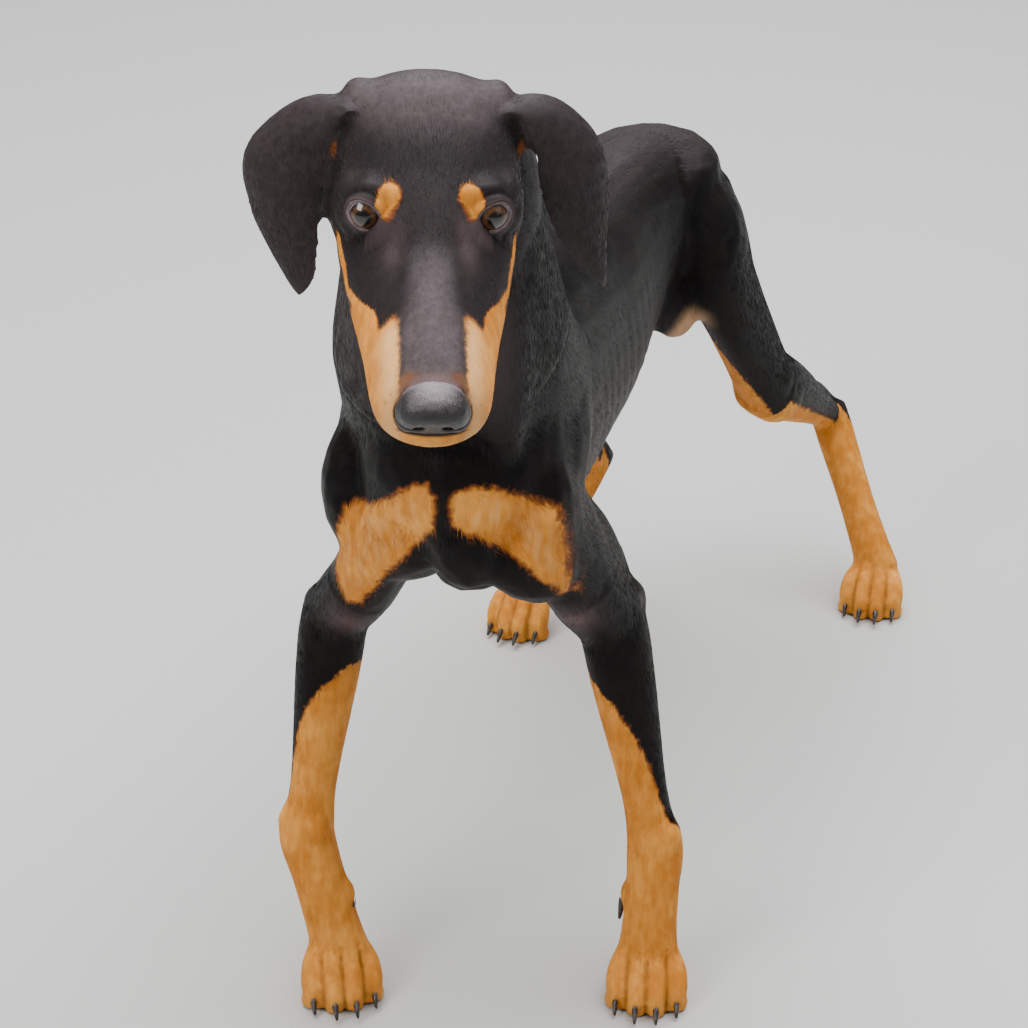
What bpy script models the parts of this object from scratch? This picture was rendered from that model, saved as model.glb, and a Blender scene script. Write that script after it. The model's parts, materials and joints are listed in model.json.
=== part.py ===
"""A doberman pinscher puppy with natural hanging ears, standing, as a still life-size model.

Metres, +Z up. The dog faces -Y and its left side is +X. The body is modelled whole from
muscle and bone forms, fused, and parted with thin cuts where a person would name its parts.
"""

import math

import bmesh
import bpy
import numpy as np
from mathutils import Matrix, Vector
from mathutils.bvhtree import BVHTree

# Fits between neighbouring pieces
GAP = 0.0003
MOUTH_GAP = 0.0006

# How finely the fused body is sampled
VOXEL = 0.0018
CURVE_STEPS = 5
TUBE_SIDES = 28

# Trunk: place along the body, its middle, back height, belly height, half width
TRUNK = (
    # y, x, back z, belly z, half width
    (-0.080, 0.026, 0.345, 0.312, 0.018),
    (-0.064, 0.021, 0.380, 0.294, 0.042),
    (-0.040, 0.013, 0.410, 0.276, 0.055),
    (0.000, 0.003, 0.436, 0.258, 0.060),
    (0.040, -0.002, 0.447, 0.248, 0.060),
    (0.090, -0.005, 0.439, 0.246, 0.060),
    (0.140, -0.005, 0.425, 0.251, 0.057),
    (0.190, -0.003, 0.414, 0.260, 0.053),
    (0.240, -0.003, 0.406, 0.269, 0.046),
    (0.290, -0.004, 0.400, 0.280, 0.042),
    (0.335, -0.004, 0.394, 0.288, 0.043),
    (0.375, -0.004, 0.385, 0.294, 0.044),
    (0.412, -0.004, 0.368, 0.299, 0.041),
    (0.436, -0.004, 0.346, 0.308, 0.026),
)

# Neck: middle, half width, throat depth, nape depth
NECK = (
    (-0.001, 0.010, 0.360, 0.066, 0.066, 0.070),
    (0.002, -0.024, 0.405, 0.064, 0.062, 0.064),
    (0.011, -0.056, 0.450, 0.057, 0.054, 0.056),
    (0.020, -0.084, 0.495, 0.050, 0.046, 0.050),
    (0.027, -0.104, 0.530, 0.044, 0.040, 0.045),
    (0.030, -0.120, 0.556, 0.038, 0.032, 0.038),
)

# Forms grown onto the trunk on its middle line: centre and radii
TRUNK_FORMS = {
    "point of the breastbone": ((0.0230, -0.068, 0.325), (0.021, 0.019, 0.034)),
    "keel of the chest": ((0.001, 0.045, 0.267), (0.032, 0.068, 0.021)),
    "withers": ((-0.002, 0.030, 0.430), (0.028, 0.056, 0.022)),
    "croup": ((-0.004, 0.362, 0.363), (0.050, 0.064, 0.024)),
}

# Paired muscles of the trunk and neck: where the middle line is at each end, how far each
# end stands off it, height of each end, thickness, depth and stretch
PAIRED_MUSCLES = {
    # (middle x, y, z, off the middle) at the start, then at the end, then the three sizes
    "chest muscle": (
        (0.022, -0.058, 0.322, 0.012),
        (0.012, -0.026, 0.288, 0.048),
        (0.024, 0.028, 1.35),
    ),
    "buttock": (
        (-0.004, 0.414, 0.345, 0.029),
        (-0.004, 0.404, 0.285, 0.031),
        (0.023, 0.021, 1.30),
    ),
    "flank fold": (
        (-0.004, 0.272, 0.300, 0.034),
        (-0.004, 0.345, 0.286, 0.040),
        (0.008, 0.020, 1.10),
    ),
    "neck cord": (
        (0.027, -0.108, 0.510, 0.026),
        (0.023, -0.058, 0.362, 0.018),
        (0.017, 0.019, 1.10),
    ),
    "neck base": (
        (0.000, -0.020, 0.440, 0.030),
        (0.000, 0.020, 0.350, 0.044),
        (0.020, 0.040, 1.15),
    ),
}

# Crest of the neck running into the withers: start, end, thickness, depth and stretch
CREST_MUSCLE = ((0.010, -0.034, 0.452), (-0.002, 0.046, 0.424), 0.032, 0.026, 1.2)

# Shoulder, as seen from the side it is on: blade's top, blade's end and the ball of the joint
BLADE_TOP = (0.034, 0.034, 0.408)
BLADE_END = (0.056, -0.022, 0.326)
SHOULDER_BALL = {"left": (0.053, -0.030, 0.318), "right": (0.051, -0.024, 0.322)}
SHOULDER_BALL_RADII = (0.022, 0.030, 0.040)
BLADE_SIZES = (0.021, 0.038, 1.12)

# Head: its frame sits midway between the eyes, nose towards -Y
HEAD_PLACE = Vector((0.0478, -0.1842, 0.5450))
HEAD_PITCH = math.radians(22)
HEAD_YAW = math.radians(20.5)
HEAD_ROLL = math.radians(2.2)

EYE_RADIUS = 0.0098
EYE_PLACE = Vector((0.0268, 0.0062, 0.0000))
LID_THICKNESS = 0.0017
LID_HALF_WIDTH = 0.0082
LID_HALF_HEIGHT = 0.0066
GAZE_OUT = math.radians(14)
GAZE_UP = math.radians(32)

# Lofts of the head, in its frame, each station: y, z, half width, size above, size below
CRANIUM = (
    (-0.034, -0.006, 0.0090, 0.0085, 0.010),
    (-0.016, -0.003, 0.0180, 0.0115, 0.018),
    (0.002, -0.001, 0.0275, 0.0175, 0.024),
    (0.016, -0.002, 0.0350, 0.0260, 0.034),
    (0.030, -0.004, 0.0405, 0.0345, 0.042),
    (0.045, -0.006, 0.0435, 0.0395, 0.046),
    (0.058, -0.007, 0.0435, 0.0375, 0.043),
    (0.070, -0.008, 0.0385, 0.0325, 0.037),
    (0.080, -0.009, 0.0280, 0.0215, 0.026),
    (0.087, -0.010, 0.0130, 0.0110, 0.013),
)
MUZZLE = (
    (0.030, -0.028, 0.0415, 0.034, 0.022),
    (0.008, -0.029, 0.0405, 0.0360, 0.017),
    (-0.012, -0.030, 0.0375, 0.0370, 0.0140),
    (-0.032, -0.0295, 0.0340, 0.0355, 0.0130),
    (-0.052, -0.0285, 0.0305, 0.0335, 0.0125),
    (-0.070, -0.0270, 0.0282, 0.0310, 0.0130),
    (-0.086, -0.0255, 0.0262, 0.0275, 0.0135),
    (-0.0965, -0.0245, 0.0212, 0.0220, 0.0130),
    (-0.1020, -0.0240, 0.0135, 0.0140, 0.0095),
    (-0.1042, -0.0235, 0.0060, 0.0070, 0.0050),
)
BRIDGE = (
    (0.014, 0.001, 0.0165, 0.0110, 0.012),
    (-0.010, -0.002, 0.0150, 0.0095, 0.012),
    (-0.045, -0.004, 0.0142, 0.0085, 0.012),
    (-0.080, -0.0065, 0.0140, 0.0080, 0.010),
    (-0.0955, -0.0090, 0.0125, 0.0072, 0.009),
)
JAW = (
    (0.052, -0.040, 0.0310, 0.020, 0.020),
    (0.030, -0.045, 0.0290, 0.018, 0.020),
    (0.000, -0.0465, 0.0260, 0.014, 0.0165),
    (-0.030, -0.0450, 0.0220, 0.011, 0.0140),
    (-0.060, -0.0420, 0.0190, 0.009, 0.0115),
    (-0.080, -0.0395, 0.0160, 0.008, 0.0098),
    (-0.0900, -0.0375, 0.0105, 0.006, 0.0066),
)
# Each loft of the head with how squared it is above and below
HEAD_LOFTS = (
    (CRANIUM, (2.15, 2.0)),
    (MUZZLE, (1.75, 2.4)),
    (BRIDGE, (2.6, 2.0)),
    (JAW, (2.2, 2.2)),
)
NOSE_PAD = (
    (-0.0870, -0.0130, 0.0080, 0.0075, 0.0090),
    (-0.0925, -0.0135, 0.0120, 0.0112, 0.0125),
    (-0.0970, -0.0140, 0.0145, 0.0122, 0.0145),
    (-0.1020, -0.0150, 0.0146, 0.0114, 0.0138),
    (-0.1052, -0.0160, 0.0132, 0.0092, 0.0118),
    (-0.1070, -0.0168, 0.0095, 0.0060, 0.0080),
)

# Paired forms of the head: how far off the middle, y, z, and radii
FACE_FORMS = {
    "cheek muscle": ((0.0325, 0.034, -0.022), (0.0125, 0.024, 0.023)),
    "cheek bone": ((0.0355, 0.021, -0.010), (0.0075, 0.019, 0.0080)),
    "outer rim of the orbit": ((0.0325, 0.0175, 0.0025), (0.0085, 0.0135, 0.0090)),
    "brow": ((0.0215, 0.0080, 0.0098), (0.0125, 0.0135, 0.0062)),
    "root of the ear": ((0.0310, 0.056, 0.0170), (0.0095, 0.0160, 0.0110)),
    "wing of the nose": ((0.0100, -0.0990, -0.0160), (0.0060, 0.0070, 0.0092)),
}
NAPE = ((0, 0.064, -0.036), (0.036, 0.026, 0.032))

# Front legs, left then right: shoulder, elbow, wrist, paw, and the way the toes point
FRONT_LEGS = {
    "left": (
        Vector((0.056, -0.036, 0.325)),
        Vector((0.0745, 0.030, 0.2261)),
        Vector((0.1046, 0.020, 0.0905)),
        Vector((0.1050, 0.008, 0.0)),
        math.radians(14),
    ),
    "right": (
        Vector((-0.021, -0.048, 0.325)),
        Vector((-0.0746, -0.010, 0.2270)),
        Vector((-0.0852, -0.036, 0.0960)),
        Vector((-0.0655, -0.043, 0.0)),
        math.radians(28),
    ),
}

# Hind legs: hip, knee, hock, paw, and the way the toes point
HIND_LEGS = {
    "left": (
        Vector((0.0330, 0.3672, 0.3250)),
        Vector((0.0705, 0.4141, 0.1991)),
        Vector((0.0917, 0.5345, 0.1230)),
        Vector((0.1385, 0.4920, 0.0)),
        math.radians(4),
    ),
    "right": (
        Vector((-0.0400, 0.3669, 0.3250)),
        Vector((-0.0560, 0.2894, 0.2150)),
        Vector((-0.0520, 0.4220, 0.1230)),
        Vector((-0.0905, 0.3860, 0.0)),
        math.radians(-4),
    ),
}

FRONT_PAW_WIDTH = 0.047
HIND_PAW_WIDTH = 0.045
PAW_HEIGHT = 0.034
ANKLE_HEIGHT = 0.030

# Toes of a paw from the inner one to the outer one: share of the paw's width off its middle,
# how far the tip reaches, and the knuckle's height
TOES = (
    (-0.375, 0.0195, 0.0205),
    (-0.128, 0.0285, 0.0235),
    (0.128, 0.0285, 0.0235),
    (0.375, 0.0195, 0.0205),
)
# Half width and half height of a toe, as shares of the paw's width
TOE_HALF_WIDTH = 0.138
TOE_HALF_HEIGHT = 0.190
# Stations of a toe: share of its place across, how far forward as a share of its reach, height
# as a share of its knuckle's, and its size as a share of its full one
TOE_STATIONS = (
    (0.55, -0.40, 1.20, 0.98),
    (0.90, 0.30, 1.00, 1.02),
    (1.00, 0.68, 0.64, 1.00),
    (1.00, 0.92, 0.44, 0.82),
)
# Pads and filling of a paw: how far forward, height, half width as a share of the paw's, half
# length and half height
HEEL_PAD = (-0.0050, 0.0085, 0.33, 0.0125, 0.0112)
TOE_PAD_HEIGHT = 0.0032
TOE_PAD_SIZES = (0.0072, 0.0090, 0.0055)
WEB = (0.0000, 0.0175, 0.34, 0.0165, 0.0150)

# Stations of a limb: share of the way from its first joint to its second, half width, size in
# front, size behind, and for the upper arm how far it is tucked in
UPPER_ARM = (
    (-0.10, 0.0180, 0.0220, 0.0340, 0.0),
    (0.25, 0.0200, 0.0250, 0.0420, 0.0045),
    (0.65, 0.0215, 0.0240, 0.0360, 0.0045),
    (1.00, 0.0195, 0.0200, 0.0240, 0.0),
)
FOREARM = (
    (-0.12, 0.0190, 0.0200, 0.0225),
    (0.12, 0.0200, 0.0210, 0.0215),
    (0.40, 0.0175, 0.0185, 0.0175),
    (0.70, 0.0145, 0.0145, 0.0140),
    (0.88, 0.0150, 0.0140, 0.0140),
    (1.00, 0.0172, 0.0150, 0.0150),
)
FRONT_PASTERN = (
    (0.35, 0.0160, 0.0140, 0.0150),
    (0.75, 0.0165, 0.0130, 0.0142),
    (1.07, 0.0185, 0.0120, 0.0150),
)
THIGH = (
    (-0.28, 0.0200, 0.0360, 0.0400),
    (0.00, 0.0300, 0.0540, 0.0540),
    (0.35, 0.0230, 0.0530, 0.0530),
    (0.70, 0.0210, 0.0400, 0.0430),
    (1.00, 0.0210, 0.0270, 0.0330),
)
LOWER_LEG = (
    (-0.10, 0.0220, 0.0240, 0.0260),
    (0.12, 0.0220, 0.0220, 0.0270),
    (0.40, 0.0190, 0.0180, 0.0235),
    (0.68, 0.0140, 0.0135, 0.0170),
    (0.88, 0.0120, 0.0120, 0.0140),
    (1.02, 0.0135, 0.0140, 0.0145),
)
HIND_PASTERN = (
    (-0.08, 0.0140, 0.0150, 0.0150),
    (0.18, 0.0142, 0.0145, 0.0150),
    (0.50, 0.0132, 0.0130, 0.0130),
    (0.82, 0.0140, 0.0130, 0.0135),
    (1.04, 0.0165, 0.0120, 0.0145),
)
TAIL = (
    (-0.5, 0.0165, 0.0160, 0.0160),
    (0.0, 0.0145, 0.0145, 0.0145),
    (0.6, 0.0125, 0.0125, 0.0125),
    (1.0, 0.0105, 0.0108, 0.0108),
)
TAIL_END_RADII = (0.0106, 0.0106, 0.0108)

# Knobs and pads of a foreleg: the joint they sit at, how far outwards, y and z, and radii
FORELEG_KNOBS = {
    "point of the elbow": ("elbow", (0.004, 0.020, 0.006), (0.011, 0.012, 0.016)),
    "outer knob of the wrist": ("wrist", (0.0085, -0.002, 0.010), (0.0080, 0.0105, 0.013)),
    "inner knob of the wrist": ("wrist", (-0.0085, -0.002, 0.010), (0.0080, 0.0105, 0.013)),
    "front of the wrist": ("wrist", (0.0, -0.008, -0.004), (0.012, 0.0075, 0.012)),
    "stop pad": ("wrist", (0.005, 0.0128, -0.012), (0.0056, 0.0044, 0.0078)),
}
# Front of the shoulder, at a share of the way down the upper arm
SHOULDER_FRONT = (-0.05, (0.019, 0.026, 0.032))
# Muscle over the point of the elbow: its share down the upper arm, then steps off both ends
ELBOW_MUSCLE_SHARE = 0.2
ELBOW_MUSCLE_START = Vector((-0.008, 0.030, 0.010))
ELBOW_MUSCLE_END = Vector((0.0, 0.014, 0.012))
ELBOW_MUSCLE_SIZES = (0.014, 0.022, 1.2)
# Dewclaw's toe: share down the pastern, step inwards and back, and radii
DEWCLAW_SHARE = 0.50
DEWCLAW_STEP = Vector((-0.0150, 0.0015, 0.0))
DEWCLAW_RADII = (0.0050, 0.0060, 0.0090)
DEWCLAW_LENGTH = 0.0085

# Heel bone of the hock and the tendon that runs up from it
HEEL_BEHIND, HEEL_BACK = 0.003, 0.009
HEEL_SIZES = (0.0105, 0.0115, 1.6)
TENDON_SHARE, TENDON_BACK = 0.50, 0.016
TENDON_SIZES = (0.0070, 0.0070, 1.05)
KNEECAP = (Vector((0, -0.016, 0.004)), (0.015, 0.012, 0.018))

TAIL_ROOT = Vector((-0.004, 0.420, 0.354))
TAIL_TIP = Vector((-0.008, 0.474, 0.334))

PAWS = (
    ("front", FRONT_LEGS, FRONT_PAW_WIDTH),
    ("hind", HIND_LEGS, HIND_PAW_WIDTH),
)
SIDES = (("left", 1.0), ("right", -1.0))
SHARP_EDGE = math.radians(50)


def clear_scene():
    for item in list(bpy.data.objects):
        bpy.data.objects.remove(item, do_unlink=True)


def finish(name, colour, roughness):
    """A plain opaque surface of one colour."""
    made = bpy.data.materials.new(name)
    made.use_nodes = True
    shader = made.node_tree.nodes["Principled BSDF"]
    shader.inputs["Base Color"].default_value = (*colour, 1.0)
    shader.inputs["Roughness"].default_value = roughness
    shader.inputs["Metallic"].default_value = 0.0
    made.diffuse_color = (*colour, 1.0)
    return made


def as_object(name, mesh, group):
    made = bpy.data.objects.new(name, mesh)
    group.objects.link(made)
    return made


def smooth_rows(rows, steps=CURVE_STEPS):
    """Stations along a form, filled in with a smooth curve through them."""
    rows = np.array(rows, dtype=float)
    padded = np.vstack([2 * rows[0] - rows[1], rows, 2 * rows[-1] - rows[-2]])
    filled = []
    for i in range(1, len(padded) - 2):
        before, start, end, after = padded[i - 1 : i + 3]
        for k in range(steps):
            t = k / steps
            filled.append(
                0.5
                * (
                    2 * start
                    + (end - before) * t
                    + (2 * before - 5 * start + 4 * end - after) * t**2
                    + (3 * start - before - 3 * end + after) * t**3
                )
            )
    filled.append(padded[-2])
    return np.array(filled)


def superellipse(angle, roundness):
    """A point of a squared-off unit circle; a roundness of 2 is the circle itself."""
    c, s = math.cos(angle), math.sin(angle)
    power = 2.0 / roundness
    return math.copysign(abs(c) ** power, c), math.copysign(abs(s) ** power, s)


def loft(shapes, rows, up, roundness=(2.0, 2.0), sides=TUBE_SIDES, steps=CURVE_STEPS):
    """A closed tube through stations of x, y, z, half width, size above, size below.

    Above is the side that `up` points to. The roundness is for above and below.
    """
    rows = smooth_rows(rows, steps)
    up = Vector(up)
    mesh = bmesh.new()
    rings = []
    for i, row in enumerate(rows):
        after = rows[min(i + 1, len(rows) - 1)]
        before = rows[max(i - 1, 0)]
        along = Vector(after[:3] - before[:3]).normalized()
        side = along.cross(up).normalized()
        above = side.cross(along).normalized()
        ring = []
        for k in range(sides):
            angle = 2 * math.pi * k / sides
            is_above = math.sin(angle) >= 0
            c, s = superellipse(angle, roundness[0] if is_above else roundness[1])
            height = row[4] if is_above else row[5]
            place = Vector(row[:3]) + side * (c * row[3]) + above * (s * height)
            ring.append(mesh.verts.new(place))
        rings.append(ring)
    for low, high in zip(rings, rings[1:]):
        for k in range(sides):
            n = (k + 1) % sides
            mesh.faces.new((low[k], low[n], high[n], high[k]))
    mesh.faces.new(rings[0])
    mesh.faces.new(rings[-1])
    bmesh.ops.recalc_face_normals(mesh, faces=mesh.faces)
    shapes.append(mesh)


def blob(shapes, centre, radii, turn=None):
    """A muscle, bone end or pad: a stretched ball, turned, then placed."""
    mesh = bmesh.new()
    bmesh.ops.create_icosphere(mesh, subdivisions=3, radius=1.0)
    turn = turn.to_4x4() if turn else Matrix.Identity(4)
    transformed(mesh, Matrix.Translation(Vector(centre)) @ turn @ Matrix.Diagonal((*radii, 1.0)))
    shapes.append(mesh)


def facing(direction, up=(0, 0, 1)):
    """A turn that takes the Z axis along a direction and keeps Y as near `up` as it can."""
    z = Vector(direction).normalized()
    x = Vector(up).cross(z).normalized()
    y = z.cross(x)
    return Matrix((x, y, z)).transposed()


def muscle(shapes, start, end, thickness, depth, stretch=1.15, up=(0, 1, 0)):
    """A spindle from one point to another; thickness is across, depth is along `up`."""
    start, end = Vector(start), Vector(end)
    half = (end - start).length / 2 * stretch
    blob(shapes, (start + end) / 2, (thickness, depth, half), facing(end - start, up))


def transformed(mesh, matrix):
    bmesh.ops.transform(mesh, matrix=matrix, verts=mesh.verts)


def joined(name, shapes, group):
    """One object that holds all the shapes, still loose in one another."""
    whole = bpy.data.meshes.new(name)
    gathered = bmesh.new()
    for shape in shapes:
        piece = bpy.data.meshes.new("piece")
        shape.to_mesh(piece)
        gathered.from_mesh(piece)
        bpy.data.meshes.remove(piece)
        shape.free()
    gathered.to_mesh(whole)
    gathered.free()
    return as_object(name, whole, group)


def applied(item):
    """The object with its modifiers made real."""
    graph = bpy.context.evaluated_depsgraph_get()
    mesh = bpy.data.meshes.new_from_object(item.evaluated_get(graph))
    old = item.data
    item.modifiers.clear()
    item.data = mesh
    bpy.data.meshes.remove(old)
    return item


def fused(item, voxel, smoothing, factor=0.5):
    """Loose shapes grown into one surface, with the creases between them softened."""
    remesh = item.modifiers.new("grow together", "REMESH")
    remesh.mode = "VOXEL"
    remesh.voxel_size = voxel
    soften = item.modifiers.new("soften", "SMOOTH")
    soften.factor = factor
    soften.iterations = smoothing
    return applied(item)


def softened_by_place(item, weight, iterations, factor=0.5):
    """Smooths each point by a weight worked out from its place."""
    group = item.vertex_groups.new(name="soft")
    for vertex in item.data.vertices:
        group.add([vertex.index], weight(vertex.co), "REPLACE")
    soften = item.modifiers.new("soften", "SMOOTH")
    soften.factor = factor
    soften.iterations = iterations
    soften.vertex_group = "soft"
    applied(item)
    item.vertex_groups.clear()
    return item


def thinned(item, triangles):
    """Fewer triangles, kept where the form turns."""
    mesh = bmesh.new()
    mesh.from_mesh(item.data)
    bmesh.ops.triangulate(mesh, faces=mesh.faces)
    mesh.to_mesh(item.data)
    mesh.free()
    now = len(item.data.polygons)
    if now <= triangles:
        return item
    fewer = item.modifiers.new("fewer", "DECIMATE")
    fewer.ratio = triangles / now
    fewer.use_collapse_triangulate = True
    return applied(item)


def loose_pieces(item):
    """Splits an object into one object for each of its separate closed surfaces."""
    for other in bpy.context.selected_objects:
        other.select_set(False)
    bpy.context.view_layer.objects.active = item
    item.select_set(True)
    bpy.ops.object.mode_set(mode="EDIT")
    bpy.ops.mesh.select_all(action="SELECT")
    bpy.ops.mesh.separate(type="LOOSE")
    bpy.ops.object.mode_set(mode="OBJECT")
    return list(bpy.context.selected_objects)


def volume(item):
    mesh = bmesh.new()
    mesh.from_mesh(item.data)
    size = abs(mesh.calc_volume(signed=True))
    mesh.free()
    return size


def keep_largest(item):
    name = item.name
    pieces = loose_pieces(item)
    if len(pieces) == 1:
        return item
    best = max(pieces, key=volume)
    if best is not item:
        item.data, best.data = best.data, item.data
    for piece in pieces:
        if piece is not item:
            bpy.data.objects.remove(piece, do_unlink=True)
    item.name = name
    return item


def cut(item, cutter, solver="MANIFOLD"):
    """Takes the cutter's space out of the object and keeps the largest piece left."""
    taken = item.modifiers.new("cut", "BOOLEAN")
    taken.operation = "DIFFERENCE"
    taken.solver = solver
    taken.object = cutter
    applied(item)
    return keep_largest(item)


def as_cutter(cutter):
    cutter.hide_render = True
    cutter.display_type = "WIRE"
    return cutter


def swollen(item, distance, group):
    """A copy of the object grown outwards by a distance."""
    copy = as_object(item.name + "_clearance", item.data.copy(), group)
    grow = copy.modifiers.new("grow", "DISPLACE")
    grow.strength = distance
    grow.mid_level = 0.0
    return as_cutter(applied(copy))


def head_frame():
    yaw = Matrix.Rotation(HEAD_YAW, 4, "Z")
    pitch = Matrix.Rotation(HEAD_PITCH, 4, "X")
    roll = Matrix.Rotation(HEAD_ROLL, 4, "Y")
    return Matrix.Translation(HEAD_PLACE) @ yaw @ pitch @ roll


# Trunk and neck


def trunk_forms(shapes):
    rows = []
    for y, x, back, belly, half in TRUNK:
        middle = belly + (back - belly) * 0.52
        rows.append((x, y, middle, half, back - middle, middle - belly))
    loft(shapes, rows, (0, 0, 1), (2.1, 2.1))
    for centre, radii in TRUNK_FORMS.values():
        blob(shapes, centre, radii)
    muscle(shapes, *CREST_MUSCLE)
    for _, side in SIDES:
        for start, end, sizes in PAIRED_MUSCLES.values():
            muscle(shapes, off_middle(start, side), off_middle(end, side), *sizes)


def off_middle(place, side):
    """A point beside the middle line, from the line's own x and the step off it."""
    return Vector((place[0] + side * place[3], place[1], place[2]))


def neck_forms(shapes):
    loft(shapes, NECK, (0, -1, 0.3), (2.0, 2.2))


# Head, in its own frame


def on_middle(stations):
    """Loft rows on the head's middle plane."""
    return [(0, y, z, half, above, below) for y, z, half, above, below in stations]


def mirrored(place, side):
    return Vector((side * place[0], place[1], place[2]))


def head_forms(shapes):
    frame = head_frame()
    head = []
    for stations, roundness in HEAD_LOFTS:
        loft(head, on_middle(stations), (0, 0, 1), roundness)
    for _, side in SIDES:
        for form, (centre, radii) in FACE_FORMS.items():
            if form != "wing of the nose":
                blob(head, mirrored(centre, side), radii)
        blob(head, mirrored(EYE_PLACE, side), (EYE_RADIUS + LID_THICKNESS,) * 3)
    blob(head, *NAPE)
    for mesh in head:
        transformed(mesh, frame)
    shapes.extend(head)


def eye_direction(side):
    turned = Vector((side * math.sin(GAZE_OUT), -math.cos(GAZE_OUT), 0.0))
    flat = turned * math.cos(GAZE_UP)
    return Vector((flat.x, flat.y, math.sin(GAZE_UP)))


# Legs


def leg_tube(shapes, stations, up=(0, -1, 0)):
    """A limb from stations of a point, half width, size in front and size behind."""
    rows = [(*point, half, front, back) for point, half, front, back in stations]
    loft(shapes, rows, up, (2.0, 2.0), 20)


def between(start, end, share):
    return start.lerp(end, share)


def along_limb(start, end, stations):
    return [(between(start, end, row[0]), *row[1:4]) for row in stations]


def toward_of(turn):
    """The way a paw points on the floor."""
    return Vector((math.sin(turn), -math.cos(turn), 0.0))


def ankle_of(paw):
    return paw + Vector((0, 0, ANKLE_HEIGHT))


def front_leg_forms(shapes, joints, side):
    shoulder, elbow, wrist, paw, turn = joints
    muscle(shapes, mirrored(BLADE_TOP, side), mirrored(BLADE_END, side), *BLADE_SIZES)
    ball_name = "left" if side > 0 else "right"
    blob(shapes, mirrored(SHOULDER_BALL[ball_name], side), SHOULDER_BALL_RADII)
    upper = [
        (between(shoulder, elbow, share) - Vector((side * tucked, 0, 0)), half, front, back)
        for share, half, front, back, tucked in UPPER_ARM
    ]
    upper.append((between(elbow, wrist, 0.15), 0.0200, 0.0205, 0.0220))
    leg_tube(shapes, upper)
    lower = along_limb(elbow, wrist, FOREARM)
    leg_tube(shapes, lower + along_limb(wrist, ankle_of(paw), FRONT_PASTERN))
    share, radii = SHOULDER_FRONT
    blob(shapes, between(shoulder, elbow, share), radii)
    muscle(
        shapes,
        between(shoulder, elbow, ELBOW_MUSCLE_SHARE) + mirrored(ELBOW_MUSCLE_START, side),
        elbow + ELBOW_MUSCLE_END,
        *ELBOW_MUSCLE_SIZES,
    )
    for joint, step, radii in FORELEG_KNOBS.values():
        blob(shapes, (elbow if joint == "elbow" else wrist) + mirrored(step, side), radii)
    blob(shapes, dewclaw_root(joints, side), DEWCLAW_RADII)
    paw_forms(shapes, paw, toward_of(turn), FRONT_PAW_WIDTH)


def dewclaw_root(joints, side):
    wrist, paw = joints[2], joints[3]
    return between(wrist, ankle_of(paw), DEWCLAW_SHARE) + mirrored(DEWCLAW_STEP, side)


def hind_leg_forms(shapes, joints, side):
    hip, knee, hock, paw, turn = joints
    ankle = ankle_of(paw) + Vector((0, 0.004, 0))
    thigh = along_limb(hip, knee, THIGH)
    thigh.append((between(knee, hock, 0.12), 0.0205, 0.0240, 0.0300))
    leg_tube(shapes, thigh, (side * 0.22, -1, 0))
    bent = (hock - knee).normalized().cross(Vector((1, 0, 0)))
    front = bent if bent.z < 0 else -bent
    leg_tube(shapes, along_limb(knee, hock, LOWER_LEG), front)
    behind = (hock - ankle).normalized()
    heel = hock + behind * HEEL_BEHIND - front * HEEL_BACK
    muscle(shapes, hock, heel, *HEEL_SIZES)
    muscle(shapes, between(knee, hock, TENDON_SHARE) - front * TENDON_BACK, heel, *TENDON_SIZES)
    step, radii = KNEECAP
    blob(shapes, knee + step, radii)
    leg_tube(shapes, along_limb(hock, ankle, HIND_PASTERN))
    paw_forms(shapes, paw, toward_of(turn), HIND_PAW_WIDTH)


def paw_point(paw, toward, across, forward, height):
    sideways = Vector((-toward.y, toward.x, 0.0))
    return paw + sideways * across + toward * forward + Vector((0, 0, height))


def paw_forms(shapes, paw, toward, width):
    flat = facing((0, 0, 1), toward)
    for place, reach, knuckle in TOES:
        rows = []
        for share, forward, height, size in TOE_STATIONS:
            point = paw_point(paw, toward, place * width * share, reach * forward, knuckle * height)
            tall = TOE_HALF_HEIGHT * width * size
            rows.append((point, TOE_HALF_WIDTH * width * size, tall, tall))
        leg_tube(shapes, rows, (0, 0, 1))
        tip, half, tall = rows[-1][:3]
        blob(shapes, tip, (half, tall, half), facing(toward))
        pad = paw_point(paw, toward, place * width, reach * 0.70, TOE_PAD_HEIGHT)
        blob(shapes, pad, TOE_PAD_SIZES, flat)
    for forward, height, half, length, tall in (HEEL_PAD, WEB):
        blob(shapes, paw_point(paw, toward, 0, forward, height), (half * width, length, tall), flat)


def tail_forms(shapes):
    leg_tube(shapes, along_limb(TAIL_ROOT, TAIL_TIP, TAIL), (0, 0, 1))
    blob(shapes, TAIL_TIP, TAIL_END_RADII)


# Parting cuts


def slab(shapes, centre, normal, half_across, half_up, up, thickness=GAP):
    """A thin sheet across the body; `up` is the way its half_up side runs."""
    mesh = bmesh.new()
    bmesh.ops.create_cube(mesh, size=1.0)
    stretch = Matrix.Diagonal((2 * half_across, 2 * half_up, thickness, 1.0))
    turn = facing(normal, up).to_4x4()
    transformed(mesh, Matrix.Translation(Vector(centre)) @ turn @ stretch)
    shapes.append(mesh)


def limb_cut(shapes, start, end, share, reach=0.045):
    """A cut square to a limb, at a share of the way along it."""
    slab(shapes, between(start, end, share), end - start, reach, reach, (1, 0, 0))


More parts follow.
